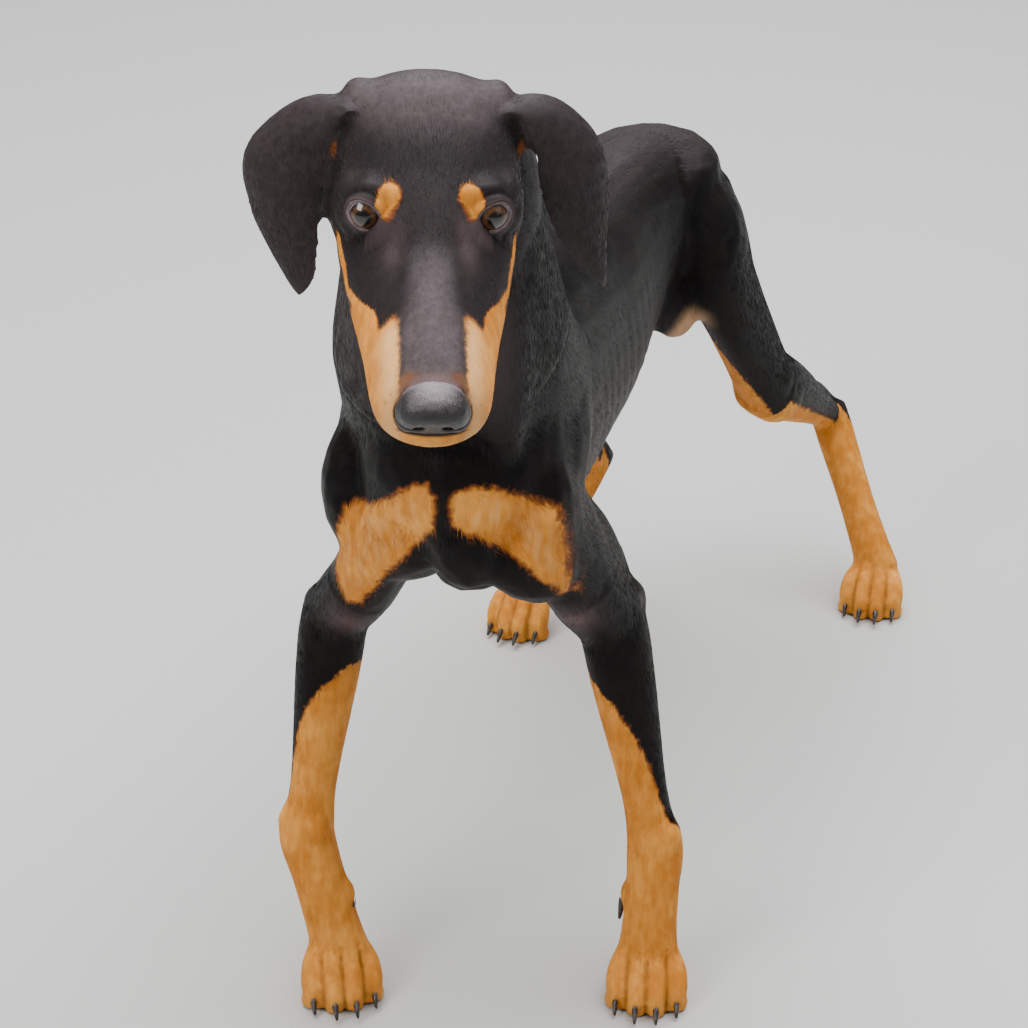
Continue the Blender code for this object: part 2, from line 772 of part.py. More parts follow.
# Sheets across the trunk: middle, the way it faces, half its size across and up, and the way
# its height runs; the first is in the head's frame
SKULL_CUT = ((0, 0.066, -0.050), (0, 0.55, -0.83), 0.075, 0.062, (0, 0.83, 0.55))
TRUNK_CUTS = (
    ((0.012, -0.028, 0.425), (-0.05, -0.62, 0.78), 0.090, 0.090, (0, 0.78, 0.62)),
    ((-0.003, 0.130, 0.340), (0, 1, 0), 0.090, 0.125, (0, 0, 1)),
    ((-0.004, 0.240, 0.345), (0, 1, 0), 0.090, 0.115, (0, 0, 1)),
)
# Share of the way along a limb where it is cut
TAIL_CUT = 0.50
ARM_CUT = 0.62
FOREARM_CUT = 0.16
WRIST_CUT = 0.86
THIGH_CUT = 0.40
HOCK_CUT = 0.90


def parting_cuts():
    """One list of sheets; together they part the whole body into its named lengths."""
    cuts = []
    frame = head_frame()
    turn = frame.to_3x3()
    place, normal, across, up, upward = SKULL_CUT
    slab(cuts, frame @ Vector(place), turn @ Vector(normal), across, up, turn @ Vector(upward))
    for sheet in TRUNK_CUTS:
        slab(cuts, *sheet)
    limb_cut(cuts, TAIL_ROOT, TAIL_TIP, TAIL_CUT, 0.026)
    for name, side in SIDES:
        shoulder, elbow, wrist, paw, _ = FRONT_LEGS[name]
        armpit = between(shoulder, elbow, ARM_CUT) + Vector((side * 0.004, 0.012, 0.0))
        slab(cuts, armpit, (side * 0.55, 0.10, -0.83), 0.070, 0.048, (side * 0.83, 0, 0.55))
        limb_cut(cuts, elbow, wrist, FOREARM_CUT)
        limb_cut(cuts, elbow, wrist, WRIST_CUT)
        ankle = paw + Vector((0, 0, PAW_HEIGHT))
        slab(cuts, ankle, (0, -0.25, 1), 0.040, 0.040, (0, 1, 0.25))
        hip, knee, hock, paw, _ = HIND_LEGS[name]
        groin = Vector((side * 0.050 - 0.004, hip.lerp(knee, THIGH_CUT).y, 0.307))
        slab(cuts, groin, (side * 0.80, 0.0, -0.60), 0.115, 0.066, (side * 0.60, 0, 0.80))
        bend = (knee - hip).normalized() + (hock - knee).normalized()
        slab(cuts, knee, bend, 0.066, 0.050, (1, 0, 0))
        limb_cut(cuts, knee, hock, HOCK_CUT, 0.034)
        ankle = paw + Vector((0, 0, PAW_HEIGHT))
        slab(cuts, ankle, (0, 0.25, 1), 0.036, 0.036, (0, 1, -0.25))
    return cuts


# Line of the mouth from the chin to its corner, then down to the throat: y, z in the head's frame
MOUTH_LINE = (
    (-0.1150, -0.0350),
    (-0.0850, -0.0355),
    (-0.0500, -0.0395),
    (-0.0160, -0.0440),
    (-0.0020, -0.0455),
    (0.0120, -0.0560),
    (0.0190, -0.0760),
    (0.0180, -0.1100),
)
MOUTH_HALF_WIDTH = 0.06


def mouth_sheet(group):
    """A thin sheet along the line of the mouth."""
    rows = smooth_rows(MOUTH_LINE, 4)
    mesh = bmesh.new()
    strips = []
    for across in (-MOUTH_HALF_WIDTH, MOUTH_HALF_WIDTH):
        strips.append([mesh.verts.new((across, y, z)) for y, z in rows])
    for i in range(len(rows) - 1):
        mesh.faces.new((strips[0][i], strips[0][i + 1], strips[1][i + 1], strips[1][i]))
    transformed(mesh, head_frame())
    sheet = joined("mouth_line", [mesh], group)
    thicken = sheet.modifiers.new("thicken", "SOLIDIFY")
    thicken.thickness = MOUTH_GAP
    thicken.offset = 0.0
    thicken.use_even_offset = True
    return as_cutter(applied(sheet))


# Nodes of the body: a point inside each, its triangles and its finish


def body_nodes():
    frame = head_frame()
    nodes = {
        "head": (frame @ Vector((0, 0.040, 0.000)), 2300, "black coat"),
        "lower_jaw": (frame @ Vector((0, -0.045, -0.046)), 420, "tan coat"),
        "neck": (Vector((0.017, -0.070, 0.460)), 420, "black coat"),
        "chest": (Vector((0.002, 0.050, 0.340)), 1000, "black coat"),
        "belly": (Vector((-0.003, 0.225, 0.335)), 380, "black coat"),
        "rump": (Vector((-0.004, 0.370, 0.355)), 620, "black coat"),
        "tail": (between(TAIL_ROOT, TAIL_TIP, 0.65), 130, "black coat"),
    }
    for name, _ in SIDES:
        shoulder, elbow, wrist, paw, _ = FRONT_LEGS[name]
        low = paw + Vector((0, 0, PAW_HEIGHT))
        nodes[name + "_upper_arm"] = (between(shoulder, elbow, 0.95), 260, "black coat")
        nodes[name + "_forearm"] = (between(elbow, wrist, 0.55), 300, "tan coat")
        nodes[name + "_front_pastern"] = (between(wrist, low, 0.40), 300, "tan coat")
        nodes[name + "_front_paw"] = (paw + Vector((0, 0, 0.018)), 720, "tan coat")
        hip, knee, hock, paw, _ = HIND_LEGS[name]
        low = paw + Vector((0, 0, PAW_HEIGHT))
        nodes[name + "_thigh"] = (between(hip, knee, 0.72), 420, "black coat")
        nodes[name + "_lower_leg"] = (between(knee, hock, 0.50), 300, "black coat")
        nodes[name + "_hind_pastern"] = (between(hock, low, 0.45), 260, "tan coat")
        nodes[name + "_hind_paw"] = (paw + Vector((0, 0, 0.018)), 680, "tan coat")
    return nodes


# Where the softening of the fused body sets in: distance from the face, heights on the legs
FACE_MIDDLE = Vector((0, -0.030, 0.0))
FACE_SOFTENS = (0.060, 0.140)
LEGS_SOFTEN = (0.190, 0.250)
PAWS_SOFTEN = (0.040, 0.080)
TRUNK_SOFTENING = 70


def ramp(value, low, high, least=0.0):
    return min(max((value - low) / (high - low), least), 1.0)


def whole_body(group):
    shapes = []
    trunk_forms(shapes)
    neck_forms(shapes)
    head_forms(shapes)
    tail_forms(shapes)
    for name, side in SIDES:
        front_leg_forms(shapes, FRONT_LEGS[name], side)
        hind_leg_forms(shapes, HIND_LEGS[name], side)
    body = joined("body", shapes, group)
    fused(body, VOXEL, 3)
    face = head_frame() @ FACE_MIDDLE

    def softness(point):
        """Crisp on the face and the paws, softer up the legs, softest on the trunk."""
        head = ramp((point - face).length, *FACE_SOFTENS, 0.03)
        leg = ramp(point.z, *LEGS_SOFTEN)
        paw = ramp(point.z, *PAWS_SOFTEN)
        return min(head, 0.02 + 0.22 * paw + 0.76 * leg)

    return softened_by_place(body, softness, TRUNK_SOFTENING)


def flatten_soles(item):
    """Takes off what reaches below the floor, which leaves small flats at one level."""
    mesh = bmesh.new()
    mesh.from_mesh(item.data)
    geometry = mesh.verts[:] + mesh.edges[:] + mesh.faces[:]
    found = bmesh.ops.bisect_plane(
        mesh, geom=geometry, plane_co=(0, 0, 0), plane_no=(0, 0, -1), clear_outer=True
    )
    edges = [e for e in found["geom_cut"] if isinstance(e, bmesh.types.BMEdge)]
    bmesh.ops.holes_fill(mesh, edges=edges)
    mesh.to_mesh(item.data)
    mesh.free()
    return item


def parted(body, cutters, nodes, group):
    """Cuts the body along all the sheets and names each piece by the point inside it."""
    for cutter in cutters:
        taken = body.modifiers.new("part", "BOOLEAN")
        taken.operation = "DIFFERENCE"
        taken.solver = "MANIFOLD"
        taken.object = cutter
        applied(body)
    pieces = []
    for piece in loose_pieces(body):
        if len(piece.data.vertices) > 60:
            pieces.append(piece)
        else:
            bpy.data.objects.remove(piece, do_unlink=True)
    graph = bpy.context.evaluated_depsgraph_get()
    trees = [BVHTree.FromObject(piece, graph) for piece in pieces]
    made = {}
    for name, (point, triangles, _) in nodes.items():
        reach = [tree.find_nearest(point)[3] for tree in trees]
        best = reach.index(min(reach))
        made[name] = as_object(name, pieces[best].data.copy(), group)
        thinned(made[name], triangles)
    for piece in pieces:
        bpy.data.objects.remove(piece, do_unlink=True)
    return made


# Eyes, nose, ears and claws


def ball(name, centre, radius, group, segments=16, rings=10):
    mesh = bmesh.new()
    bmesh.ops.create_uvsphere(mesh, u_segments=segments, v_segments=rings, radius=radius)
    transformed(mesh, Matrix.Translation(centre))
    return joined(name, [mesh], group)


def open_lids(head, side, group, tools):
    """The eyeball, the almond opening between the lids and its socket in the head."""
    frame = head_frame()
    place = frame @ mirrored(EYE_PLACE, side)
    gaze = frame.to_3x3() @ eye_direction(side)
    name = "left_eye" if side > 0 else "right_eye"
    eye = ball(name, place, EYE_RADIUS, group)
    opening = bmesh.new()
    bmesh.ops.create_uvsphere(opening, u_segments=16, v_segments=8, radius=1.0)
    across = frame.to_3x3() @ Vector((1.0, 0.0, side * 0.16))
    upward = gaze.cross(across).normalized()
    stretch = Matrix.Diagonal((LID_HALF_WIDTH, LID_HALF_HEIGHT, EYE_RADIUS, 1.0))
    move = Matrix.Translation(place + gaze * EYE_RADIUS * 0.95)
    transformed(opening, move @ facing(gaze, upward).to_4x4() @ stretch)
    cut(head, as_cutter(joined(name + "_opening", [opening], tools)))
    cut(head, as_cutter(ball(name + "_socket", place, EYE_RADIUS + GAP, tools)))
    return eye


def nose_pad(group):
    """The leather of the nose: a rounded wedge with wings, before its nostrils are cut."""
    frame = head_frame()
    shapes = []
    loft(shapes, on_middle(NOSE_PAD), (0, 0, 1), (2.5, 2.2), 32)
    for _, side in SIDES:
        centre, radii = FACE_FORMS["wing of the nose"]
        blob(shapes, mirrored(centre, side), radii)
    for mesh in shapes:
        transformed(mesh, frame)
    nose = joined("nose", shapes, group)
    fused(nose, 0.0009, 4)
    return thinned(nose, 480)


# Each nostril, off the middle: a round passage, then the slit that curls out and up
NOSTRIL_PASSAGE = (
    (0.0055, -0.1120, -0.0180, 0.0026, 0.0030, 0.0030),
    (0.0060, -0.1045, -0.0170, 0.0028, 0.0031, 0.0031),
    (0.0064, -0.0985, -0.0150, 0.0015, 0.0018, 0.0018),
)
NOSTRIL_SLIT = (
    (0.0070, -0.1065, -0.0190, 0.0032, 0.0011, 0.0011),
    (0.0125, -0.1035, -0.0180, 0.0040, 0.0010, 0.0010),
    (0.0178, -0.0975, -0.0150, 0.0030, 0.0006, 0.0006),
)


def open_nostrils(nose, tools):
    for name, side in SIDES:
        for form, stations, sides in (("passage", NOSTRIL_PASSAGE, 8), ("slit", NOSTRIL_SLIT, 6)):
            hole = []
            rows = [(side * row[0], *row[1:]) for row in stations]
            loft(hole, rows, (0, 0, 1), sides=sides, steps=2)
            transformed(hole[0], head_frame())
            cut(nose, as_cutter(joined(f"{name}_nostril_{form}", hole, tools)))


# Ears, in the head's frame: the front edge, the back edge and the bow of the leather
# between them, at each station from the root over the fold to the tip
EARS = {
    "left": (
        (0.0250, 0.0410, 0.0180, 0.0280, 0.0710, 0.0010, 0.003),
        (0.0345, 0.0425, 0.0245, 0.0420, 0.0720, 0.0015, 0.005),
        (0.0420, 0.0410, 0.0180, 0.0600, 0.0740, 0.0000, 0.009),
        (0.0465, 0.0380, 0.0040, 0.0755, 0.0700, -0.0085, 0.010),
        (0.0500, 0.0345, -0.0115, 0.0830, 0.0600, -0.0200, 0.009),
        (0.0560, 0.0310, -0.0310, 0.0850, 0.0520, -0.0370, 0.006),
        (0.0655, 0.0300, -0.0500, 0.0848, 0.0450, -0.0555, 0.004),
        (0.0765, 0.0310, -0.0650, 0.0852, 0.0380, -0.0700, 0.002),
        (0.0830, 0.0340, -0.0755, 0.0856, 0.0360, -0.0770, 0.000),
    ),
    "right": (
        (-0.0250, 0.0410, 0.0180, -0.0280, 0.0710, 0.0010, 0.003),
        (-0.0340, 0.0425, 0.0245, -0.0430, 0.0720, 0.0005, 0.005),
        (-0.0395, 0.0410, 0.0165, -0.0620, 0.0740, -0.0040, 0.009),
        (-0.0430, 0.0380, 0.0010, -0.0770, 0.0690, -0.0125, 0.010),
        (-0.0465, 0.0345, -0.0140, -0.0830, 0.0590, -0.0220, 0.009),
        (-0.0475, 0.0310, -0.0340, -0.0800, 0.0500, -0.0400, 0.006),
        (-0.0482, 0.0300, -0.0530, -0.0720, 0.0410, -0.0560, 0.004),
        (-0.0500, 0.0300, -0.0680, -0.0635, 0.0340, -0.0700, 0.002),
        (-0.0550, 0.0310, -0.0785, -0.0590, 0.0320, -0.0795, 0.000),
    ),
}
EAR_THICKNESS = 0.0030
EAR_COLUMNS = 13
EAR_EDGE_SHARE = 0.35


def ear_leather(name, side, group):
    """A bowed sheet that leaves the skull, rolls over and hangs, hollow towards the cheek."""
    rows = smooth_rows(EARS[name], 4)
    middles = (rows[:, 0:3] + rows[:, 3:6]) / 2
    mesh = bmesh.new()
    rings = []
    for i, row in enumerate(rows):
        front, back, bow = Vector(row[0:3]), Vector(row[3:6]), row[6]
        along = Vector(middles[min(i + 1, len(rows) - 1)] - middles[max(i - 1, 0)])
        outward = (front - back).cross(along).normalized() * side
        tops = []
        bottoms = []
        for k in range(EAR_COLUMNS):
            share = k / (EAR_COLUMNS - 1)
            from_middle = 2 * share - 1
            edge = math.sqrt(max(1 - from_middle**4, 0.0))
            thick = EAR_THICKNESS * (EAR_EDGE_SHARE + (1 - EAR_EDGE_SHARE) * edge)
            middle = front.lerp(back, share) + outward * (bow * (1 - from_middle**2))
            tops.append(mesh.verts.new(middle + outward * thick / 2))
            bottoms.append(mesh.verts.new(middle - outward * thick / 2))
        rings.append(tops + bottoms[::-1])
    count = 2 * EAR_COLUMNS
    for low, high in zip(rings, rings[1:]):
        for k in range(count):
            n = (k + 1) % count
            mesh.faces.new((low[k], low[n], high[n], high[k]))
    mesh.faces.new(rings[0])
    mesh.faces.new(rings[-1])
    bmesh.ops.recalc_face_normals(mesh, faces=mesh.faces)
    transformed(mesh, head_frame())
    ear = joined(name + "_ear", [mesh], group)
    fused(ear, 0.0010, 3)
    return thinned(ear, 480)


CLAW_LENGTH = 0.0104
CLAW_RADIUS = 0.0032
CLAW_SIDES = 6
# Stations of a claw as shares of its length, how far its tip droops and how much it thins
CLAW_SHARES = (-0.35, 0.1, 0.55, 1.0)
CLAW_DROOP = 0.30
CLAW_TAPER = 0.66
CLAW_WIDTH = 0.80
CLAW_SLOPE = Vector((0, 0, -0.42))
# Where a claw leaves its toe: share of the toe's reach and of its knuckle's height
CLAW_ROOT = (0.98, 0.47)
DEWCLAW_ROOT_STEP = Vector((-0.0022, -0.001, -0.0062))
DEWCLAW_DIRECTION = Vector((-0.12, -0.35, -0.95))


def claw(name, root, direction, length, group):
    """A short curved horn, thick at its root and blunt at its end."""
    direction = Vector(direction).normalized()
    rows = []
    for share in CLAW_SHARES:
        out = max(share, 0.0)
        point = root + direction * (share * length) - Vector((0, 0, CLAW_DROOP * length * out**2))
        radius = CLAW_RADIUS * (1.0 - CLAW_TAPER * out)
        rows.append((*point, radius * CLAW_WIDTH, radius, radius))
    shapes = []
    loft(shapes, rows, (0, 0, 1), sides=CLAW_SIDES, steps=1)
    return joined(name, shapes, group)


def paw_claws(prefix, leg, width, paw_object, group, tools):
    paw, toward = leg[3], toward_of(leg[4])
    clearance = swollen(paw_object, GAP, tools)
    for i, (place, reach, knuckle) in enumerate(TOES, start=1):
        forward, height = reach * CLAW_ROOT[0], knuckle * CLAW_ROOT[1]
        root = paw_point(paw, toward, place * width, forward, height)
        made = claw(f"{prefix}_claw_{i}", root, toward + CLAW_SLOPE, CLAW_LENGTH, group)
        cut(made, clearance)


def dewclaw(name, side, pastern, group, tools):
    root = dewclaw_root(FRONT_LEGS[name], side) + mirrored(DEWCLAW_ROOT_STEP, side)
    direction = mirrored(DEWCLAW_DIRECTION, side)
    made = claw(f"{name}_dewclaw", root, direction, DEWCLAW_LENGTH, group)
    return cut(made, swollen(pastern, GAP, tools))


def stand_over_origin(dog):
    """Brings the middle of the whole dog's box over the origin; the soles stay at zero."""
    boxes = [item.bound_box for item in dog.objects]
    corners = np.array([corner for box in boxes for corner in box])
    middle = (corners.min(axis=0) + corners.max(axis=0)) / 2
    for item in dog.objects:
        item.data.transform(Matrix.Translation((-middle[0], -middle[1], 0.0)))


def main():
    clear_scene()
    dog = bpy.data.collections.new("doberman_pinscher_puppy")
    tools = bpy.data.collections.new("cutters")
    bpy.context.scene.collection.children.link(dog)
    bpy.context.scene.collection.children.link(tools)
    coats = {
        "black coat": finish("black coat", (0.013, 0.011, 0.011), 0.50),
        "tan coat": finish("tan coat", (0.46, 0.19, 0.06), 0.60),
        "eye": finish("eye", (0.05, 0.02, 0.012), 0.08),
        "nose leather": finish("nose leather", (0.03, 0.026, 0.03), 0.45),
        "claw horn": finish("claw horn", (0.02, 0.016, 0.015), 0.40),
    }
    nodes = body_nodes()
    sheets = [
        as_cutter(joined(f"parting_{i}", [mesh], tools))
        for i, mesh in enumerate(parting_cuts())
    ]
    sheets.append(mouth_sheet(tools))
    made = parted(whole_body(dog), sheets, nodes, dog)
    for name, item in made.items():
        if name.endswith("paw"):
            flatten_soles(item)
    finishes = {name: coat for name, (_, _, coat) in nodes.items()}

    head = made["head"]
    nose = nose_pad(dog)
    finishes["nose"] = "nose leather"
    around_nose = swollen(nose, GAP, tools)
    cut(head, around_nose)
    cut(made["lower_jaw"], around_nose)
    open_nostrils(nose, tools)
    for name, side in SIDES:
        eye = open_lids(head, side, dog, tools)
        finishes[eye.name] = "eye"
    for name, side in SIDES:
        ear = ear_leather(name, side, dog)
        cut(ear, swollen(head, GAP, tools))
        finishes[ear.name] = "black coat"
        dewclaw(name, side, made[name + "_front_pastern"], dog, tools)
        for end, legs, width in PAWS:
            paw_object = made[f"{name}_{end}_paw"]
            paw_claws(f"{name}_{end}", legs[name], width, paw_object, dog, tools)
    for item in dog.objects:
        item.data.materials.clear()
        item.data.materials.append(coats[finishes.get(item.name, "claw horn")])
        item.data.shade_smooth()
        item.data.set_sharp_from_angle(angle=SHARP_EDGE)
    stand_over_origin(dog)


main()
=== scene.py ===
import json
import math

import bmesh
import bpy
import numpy as np
from mathutils import Euler, Matrix, Vector
from mathutils.bvhtree import BVHTree

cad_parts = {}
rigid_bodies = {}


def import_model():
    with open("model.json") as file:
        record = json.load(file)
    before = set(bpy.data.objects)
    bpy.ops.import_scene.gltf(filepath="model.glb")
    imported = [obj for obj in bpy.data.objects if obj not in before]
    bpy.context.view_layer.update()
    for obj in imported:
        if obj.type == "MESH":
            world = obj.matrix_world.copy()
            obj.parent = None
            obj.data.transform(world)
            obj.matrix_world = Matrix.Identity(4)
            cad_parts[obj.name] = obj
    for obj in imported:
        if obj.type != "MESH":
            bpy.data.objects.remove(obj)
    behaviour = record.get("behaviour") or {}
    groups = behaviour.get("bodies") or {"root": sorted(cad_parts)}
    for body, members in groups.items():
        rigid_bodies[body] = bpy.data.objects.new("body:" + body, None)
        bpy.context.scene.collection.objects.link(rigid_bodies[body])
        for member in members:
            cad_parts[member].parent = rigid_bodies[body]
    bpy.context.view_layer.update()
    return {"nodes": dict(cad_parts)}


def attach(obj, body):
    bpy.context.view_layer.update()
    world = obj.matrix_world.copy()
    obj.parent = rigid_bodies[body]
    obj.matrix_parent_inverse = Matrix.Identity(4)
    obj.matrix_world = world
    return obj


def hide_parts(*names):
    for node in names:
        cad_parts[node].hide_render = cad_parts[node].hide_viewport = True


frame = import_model()
NODES = frame["nodes"]
SIDES = (("left", 1.0), ("right", -1.0))
draw = np.random.default_rng(11)

# Sizes, in metres
VOXEL = 0.00185
CLOSING = 0.00035
EAR_SWELL = 0.0009
HEAD_TURN = (
    Matrix.Rotation(math.radians(20.5), 3, "Z")
    @ Matrix.Rotation(math.radians(22), 3, "X")
    @ Matrix.Rotation(math.radians(2.2), 3, "Y")
)
EYE_RADIUS = 0.0098
# The flesh that joins the front of each ear to the skull, in the head's frame
EAR_ROOT, EAR_ROOT_SIZE = Vector((0.0425, 0.0460, 0.0100)), (0.0042, 0.0050, 0.0130)
EYE_PLACE = Vector((0.0268, 0.0062, 0.0000))
GAZE_OUT, GAZE_UP = math.radians(13), math.radians(18)

# Camera, floor and light


def camera_and_light():
    camera = bpy.data.objects.new("camera", bpy.data.cameras.new("camera"))
    bpy.context.scene.collection.objects.link(camera)
    camera.data.sensor_width = 36.0
    camera.data.lens = 98.05
    camera.data.clip_start = 0.05
    camera.location = (0.41086, -1.39070, 1.0045)
    camera.rotation_euler = Euler((math.radians(62), 0, math.radians(18)))
    bpy.context.scene.camera = camera
    lamps = (
        ("sky panel", (0.1, 0.3, 2.7), (0.0, 0.0, 0.3), 3.0, 190, (0.96, 0.98, 1.0)),
        ("front panel", (-1.2, -2.4, 2.1), (0.0, -0.2, 0.4), 1.4, 52, (1.0, 0.98, 0.95)),
        ("side panel", (2.3, -1.1, 1.5), (0.0, 0.0, 0.35), 1.6, 4, (0.98, 0.99, 1.0)),
        ("rear panel", (-0.9, 2.4, 1.9), (0.0, 0.1, 0.35), 1.4, 16, (0.97, 0.98, 1.0)),
    )
    for name, place, aim, size, power, colour in lamps:
        lamp = bpy.data.objects.new(name, bpy.data.lights.new(name, "AREA"))
        lamp.data.shape = "SQUARE"
        lamp.data.size = size
        lamp.data.energy = power
        lamp.data.color = colour
        lamp.location = place
        lamp.rotation_euler = (Vector(aim) - Vector(place)).to_track_quat("-Z", "Y").to_euler()
        bpy.context.scene.collection.objects.link(lamp)
    world = bpy.data.worlds.new("studio")
    world.use_nodes = True
    back = world.node_tree.nodes["Background"]
    back.inputs["Color"].default_value = (0.88, 0.90, 0.92, 1)
    back.inputs["Strength"].default_value = 0.20
    bpy.context.scene.world = world


# Shader maths


class Field:
    """A shader socket that can be added, multiplied and compared like a number."""

    def __init__(self, finish, socket):
        self.finish, self.socket = finish, socket

    def sums(self, operation, *terms):
        return self.finish.node("Math", {"operation": operation}, dict(enumerate(terms)))

    def __add__(self, other):
        return self.sums("ADD", self, other)

    def __sub__(self, other):
        return self.sums("SUBTRACT", self, other)

    def __rsub__(self, other):
        return self.sums("SUBTRACT", other, self)

    def __mul__(self, other):
        return self.sums("MULTIPLY", self, other)

    def __truediv__(self, other):
        return self.sums("DIVIDE", self, other)

    def __rtruediv__(self, other):
        return self.sums("DIVIDE", other, self)

    def __pow__(self, other):
        return self.sums("POWER", self, other)

    __radd__, __rmul__ = __add__, __mul__

    def ramp(self, low, high, first=0.0, last=1.0):
        """first up to low, last from high, and a smooth step between."""
        values = {0: self, 1: low, 2: high, 3: first, 4: last}
        return self.finish.node("MapRange", {"interpolation_type": "SMOOTHSTEP"}, values)


class Finish:
    """A material: its Principled shader's constants, and the nodes that vary over the surface."""

    def __init__(self, name, colour, **constants):
        self.material = bpy.data.materials.new(name)
        self.material.use_nodes = True
        self.tree = self.material.node_tree
        self.shader = self.tree.nodes["Principled BSDF"]
        self.shader.inputs["Base Color"].default_value = (*colour, 1)
        self.material.diffuse_color = (*colour, 1)
        for socket, value in constants.items():
            self.shader.inputs[socket.replace("_", " ")].default_value = value

    def feed(self, socket, value):
        if isinstance(value, Field):
            self.tree.links.new(value.socket, socket)
        elif isinstance(value, tuple) and len(value) == 3 and socket.type == "RGBA":
            socket.default_value = (*value, 1)
        else:
            socket.default_value = value

    def node(self, kind, settings=None, values=None, out=0):
        made = self.tree.nodes.new("ShaderNode" + kind)
        for key, value in (settings or {}).items():
            setattr(made, key, value)
        for key, value in (values or {}).items():
            self.feed(made.inputs[key], value)
        return Field(self, made.outputs[out])

    def painted(self, name):
        """A number that the mesh carries at each of its points."""
        return self.node("Attribute", {"attribute_name": name}, out="Fac")

    def place(self, stretch=(1, 1, 1)):
        at = self.node("TexCoord", out="Object")
        return self.node("VectorMath", {"operation": "MULTIPLY"}, {0: at, 1: stretch})

    def noise(self, scale, stretch=(1, 1, 1), detail=2.0, rough=0.5):
        values = {"Vector": self.place(stretch), "Scale": scale, "Detail": detail, "Roughness": rough}
        return self.node("TexNoise", {}, values)

    def mix(self, factor, first, second):
        return self.node("Mix", {"data_type": "RGBA"}, {0: factor, 6: first, 7: second}, out=2)

    def bump(self, height, strength, distance):
        return self.node("Bump", {}, {"Strength": strength, "Distance": distance, "Height": height})

    def end(self, **links):
        for socket, value in links.items():
            self.feed(self.shader.inputs[socket.replace("_", " ")], value)
        return self.material


BLACK = ((0.0042, 0.0036, 0.0038), (0.0100, 0.0076, 0.0068))
BLACK_TIP = (0.0150, 0.0118, 0.0105)
# painted sheen: the grey-brown that stands in for light reflecting on the black coat
SHEEN_GREY = (0.090, 0.068, 0.072)
RUST = ((0.17, 0.045, 0.010), (0.26, 0.080, 0.018))
GOLD = ((0.54, 0.178, 0.016), (0.84, 0.365, 0.066))
CREAM = ((0.76, 0.43, 0.180), (0.86, 0.58, 0.31))
BARE = ((0.105, 0.068, 0.072), (0.190, 0.125, 0.128))
LEATHER = (0.0080, 0.0066, 0.0072)


def coat_finish(name, bumped):
    """Short black coat with tan markings, bare skin where it thins, and painted sheen on the black, by numbers the mesh
    carries.
    """
    coat = Finish(name, BLACK[0], Roughness=0.42, IOR=1.18)
    tan, pale, bare, shade = (coat.painted(n) for n in ("tan", "pale", "bare", "shade"))
    dust, leather = coat.painted("dust"), coat.painted("leather")
    rust = tan.ramp(0.15, 0.55)
    gold = tan.ramp(0.45, 0.95)
    warm = coat.noise(38.0, detail=3.0).ramp(0.35, 0.7)
    black = coat.mix(warm * 0.7, *BLACK)
    black = coat.mix(shade * 0.6, black, BLACK_TIP)
    # the black is lightened towards the painted sheen colour wherever the mesh carries painted sheen
    black = coat.mix(dust, black, SHEEN_GREY)
    streaks = coat.noise(240.0, (1, 1, 0.3), detail=3.0).ramp(0.3, 0.7)
    streaked = (shade * 0.4 + streaks * 0.3 + warm * 0.4).ramp(0.0, 1.0)
    tanned = coat.mix(gold, coat.mix(rust, black, coat.mix(shade, *RUST)), coat.mix(streaked, *GOLD))
    colour = coat.mix(pale, tanned, coat.mix(shade, *CREAM))
    colour = coat.mix(bare, colour, coat.mix(warm, *BARE))
    colour = coat.mix(leather, colour, LEATHER)
    roughness = 0.43 + 0.13 * tan + 0.06 * shade + 0.06 * dust - 0.08 * leather
    if not bumped:
        return coat.end(Base_Color=colour, Roughness=roughness)
    down = coat.painted("down")
    hairs = coat.noise(1.0, (1500, 1500, 210)) * down + coat.noise(1.0, (1500, 230, 1500)) * (1 - down)
    return coat.end(Base_Color=colour, Roughness=roughness, Normal=coat.bump(hairs, 0.40, 0.0004))


# Arrays and meshes


def read(collection, name, width=1, kind=np.float32):
    flat = np.empty(len(collection) * width, kind)
    collection.foreach_get(name, flat)
    return flat.reshape(-1, width) if width > 1 else flat


def points_of(mesh):
    return read(mesh.vertices, "co", 3).astype(float)


def move_points(mesh, points):
    mesh.vertices.foreach_set("co", points.astype(np.float32).ravel())
    mesh.update()


def normals_of(mesh):
    return read(mesh.vertex_normals, "vector", 3).astype(float)


def carry(mesh, **numbers):
    for name, values in numbers.items():
        layer = mesh.attributes.get(name) or mesh.attributes.new(name, "FLOAT", "POINT")
        layer.data.foreach_set("value", np.ascontiguousarray(values, np.float32))


def dot(a, b):
    return (a * b).sum(-1)


def unit(vectors):
    return vectors / (np.linalg.norm(vectors, axis=-1, keepdims=True) + 1e-12)


def step(values, low, high):
    t = np.clip((values - low) / (high - low), 0, 1)
    return t * t * (3 - 2 * t)


def hill(values, middle, width):
    return np.exp(-(((values - middle) / width) ** 2))


class Neighbours:
    """Averages over the points that share an edge."""

    def __init__(self, mesh):
        ends = read(mesh.edges, "vertices", 2, np.int32)
        self.a = np.concatenate([ends[:, 0], ends[:, 1]])
        self.b = np.concatenate([ends[:, 1], ends[:, 0]])
        self.size = len(mesh.vertices)
        self.count = np.maximum(np.bincount(self.a, minlength=self.size), 1)

    def mean(self, values):
        columns = values.reshape(self.size, -1)
        sums = [np.bincount(self.a, columns[self.b, k], self.size) / self.count for k in range(columns.shape[1])]
        return np.stack(sums, 1).reshape(values.shape)

    def spread(self, values, rounds, share=0.5):
        for _ in range(rounds):
            values = values + share * (self.mean(values) - values)
        return values

    def smooth(self, points, rounds, weight):
        """Smooths without shrinking: a step in, then a slightly longer step out."""
        weight = weight[:, None]
        for _ in range(rounds):
            for share in (0.60, -0.62):
                points = points + share * weight * (self.mean(points) - points)
        return points


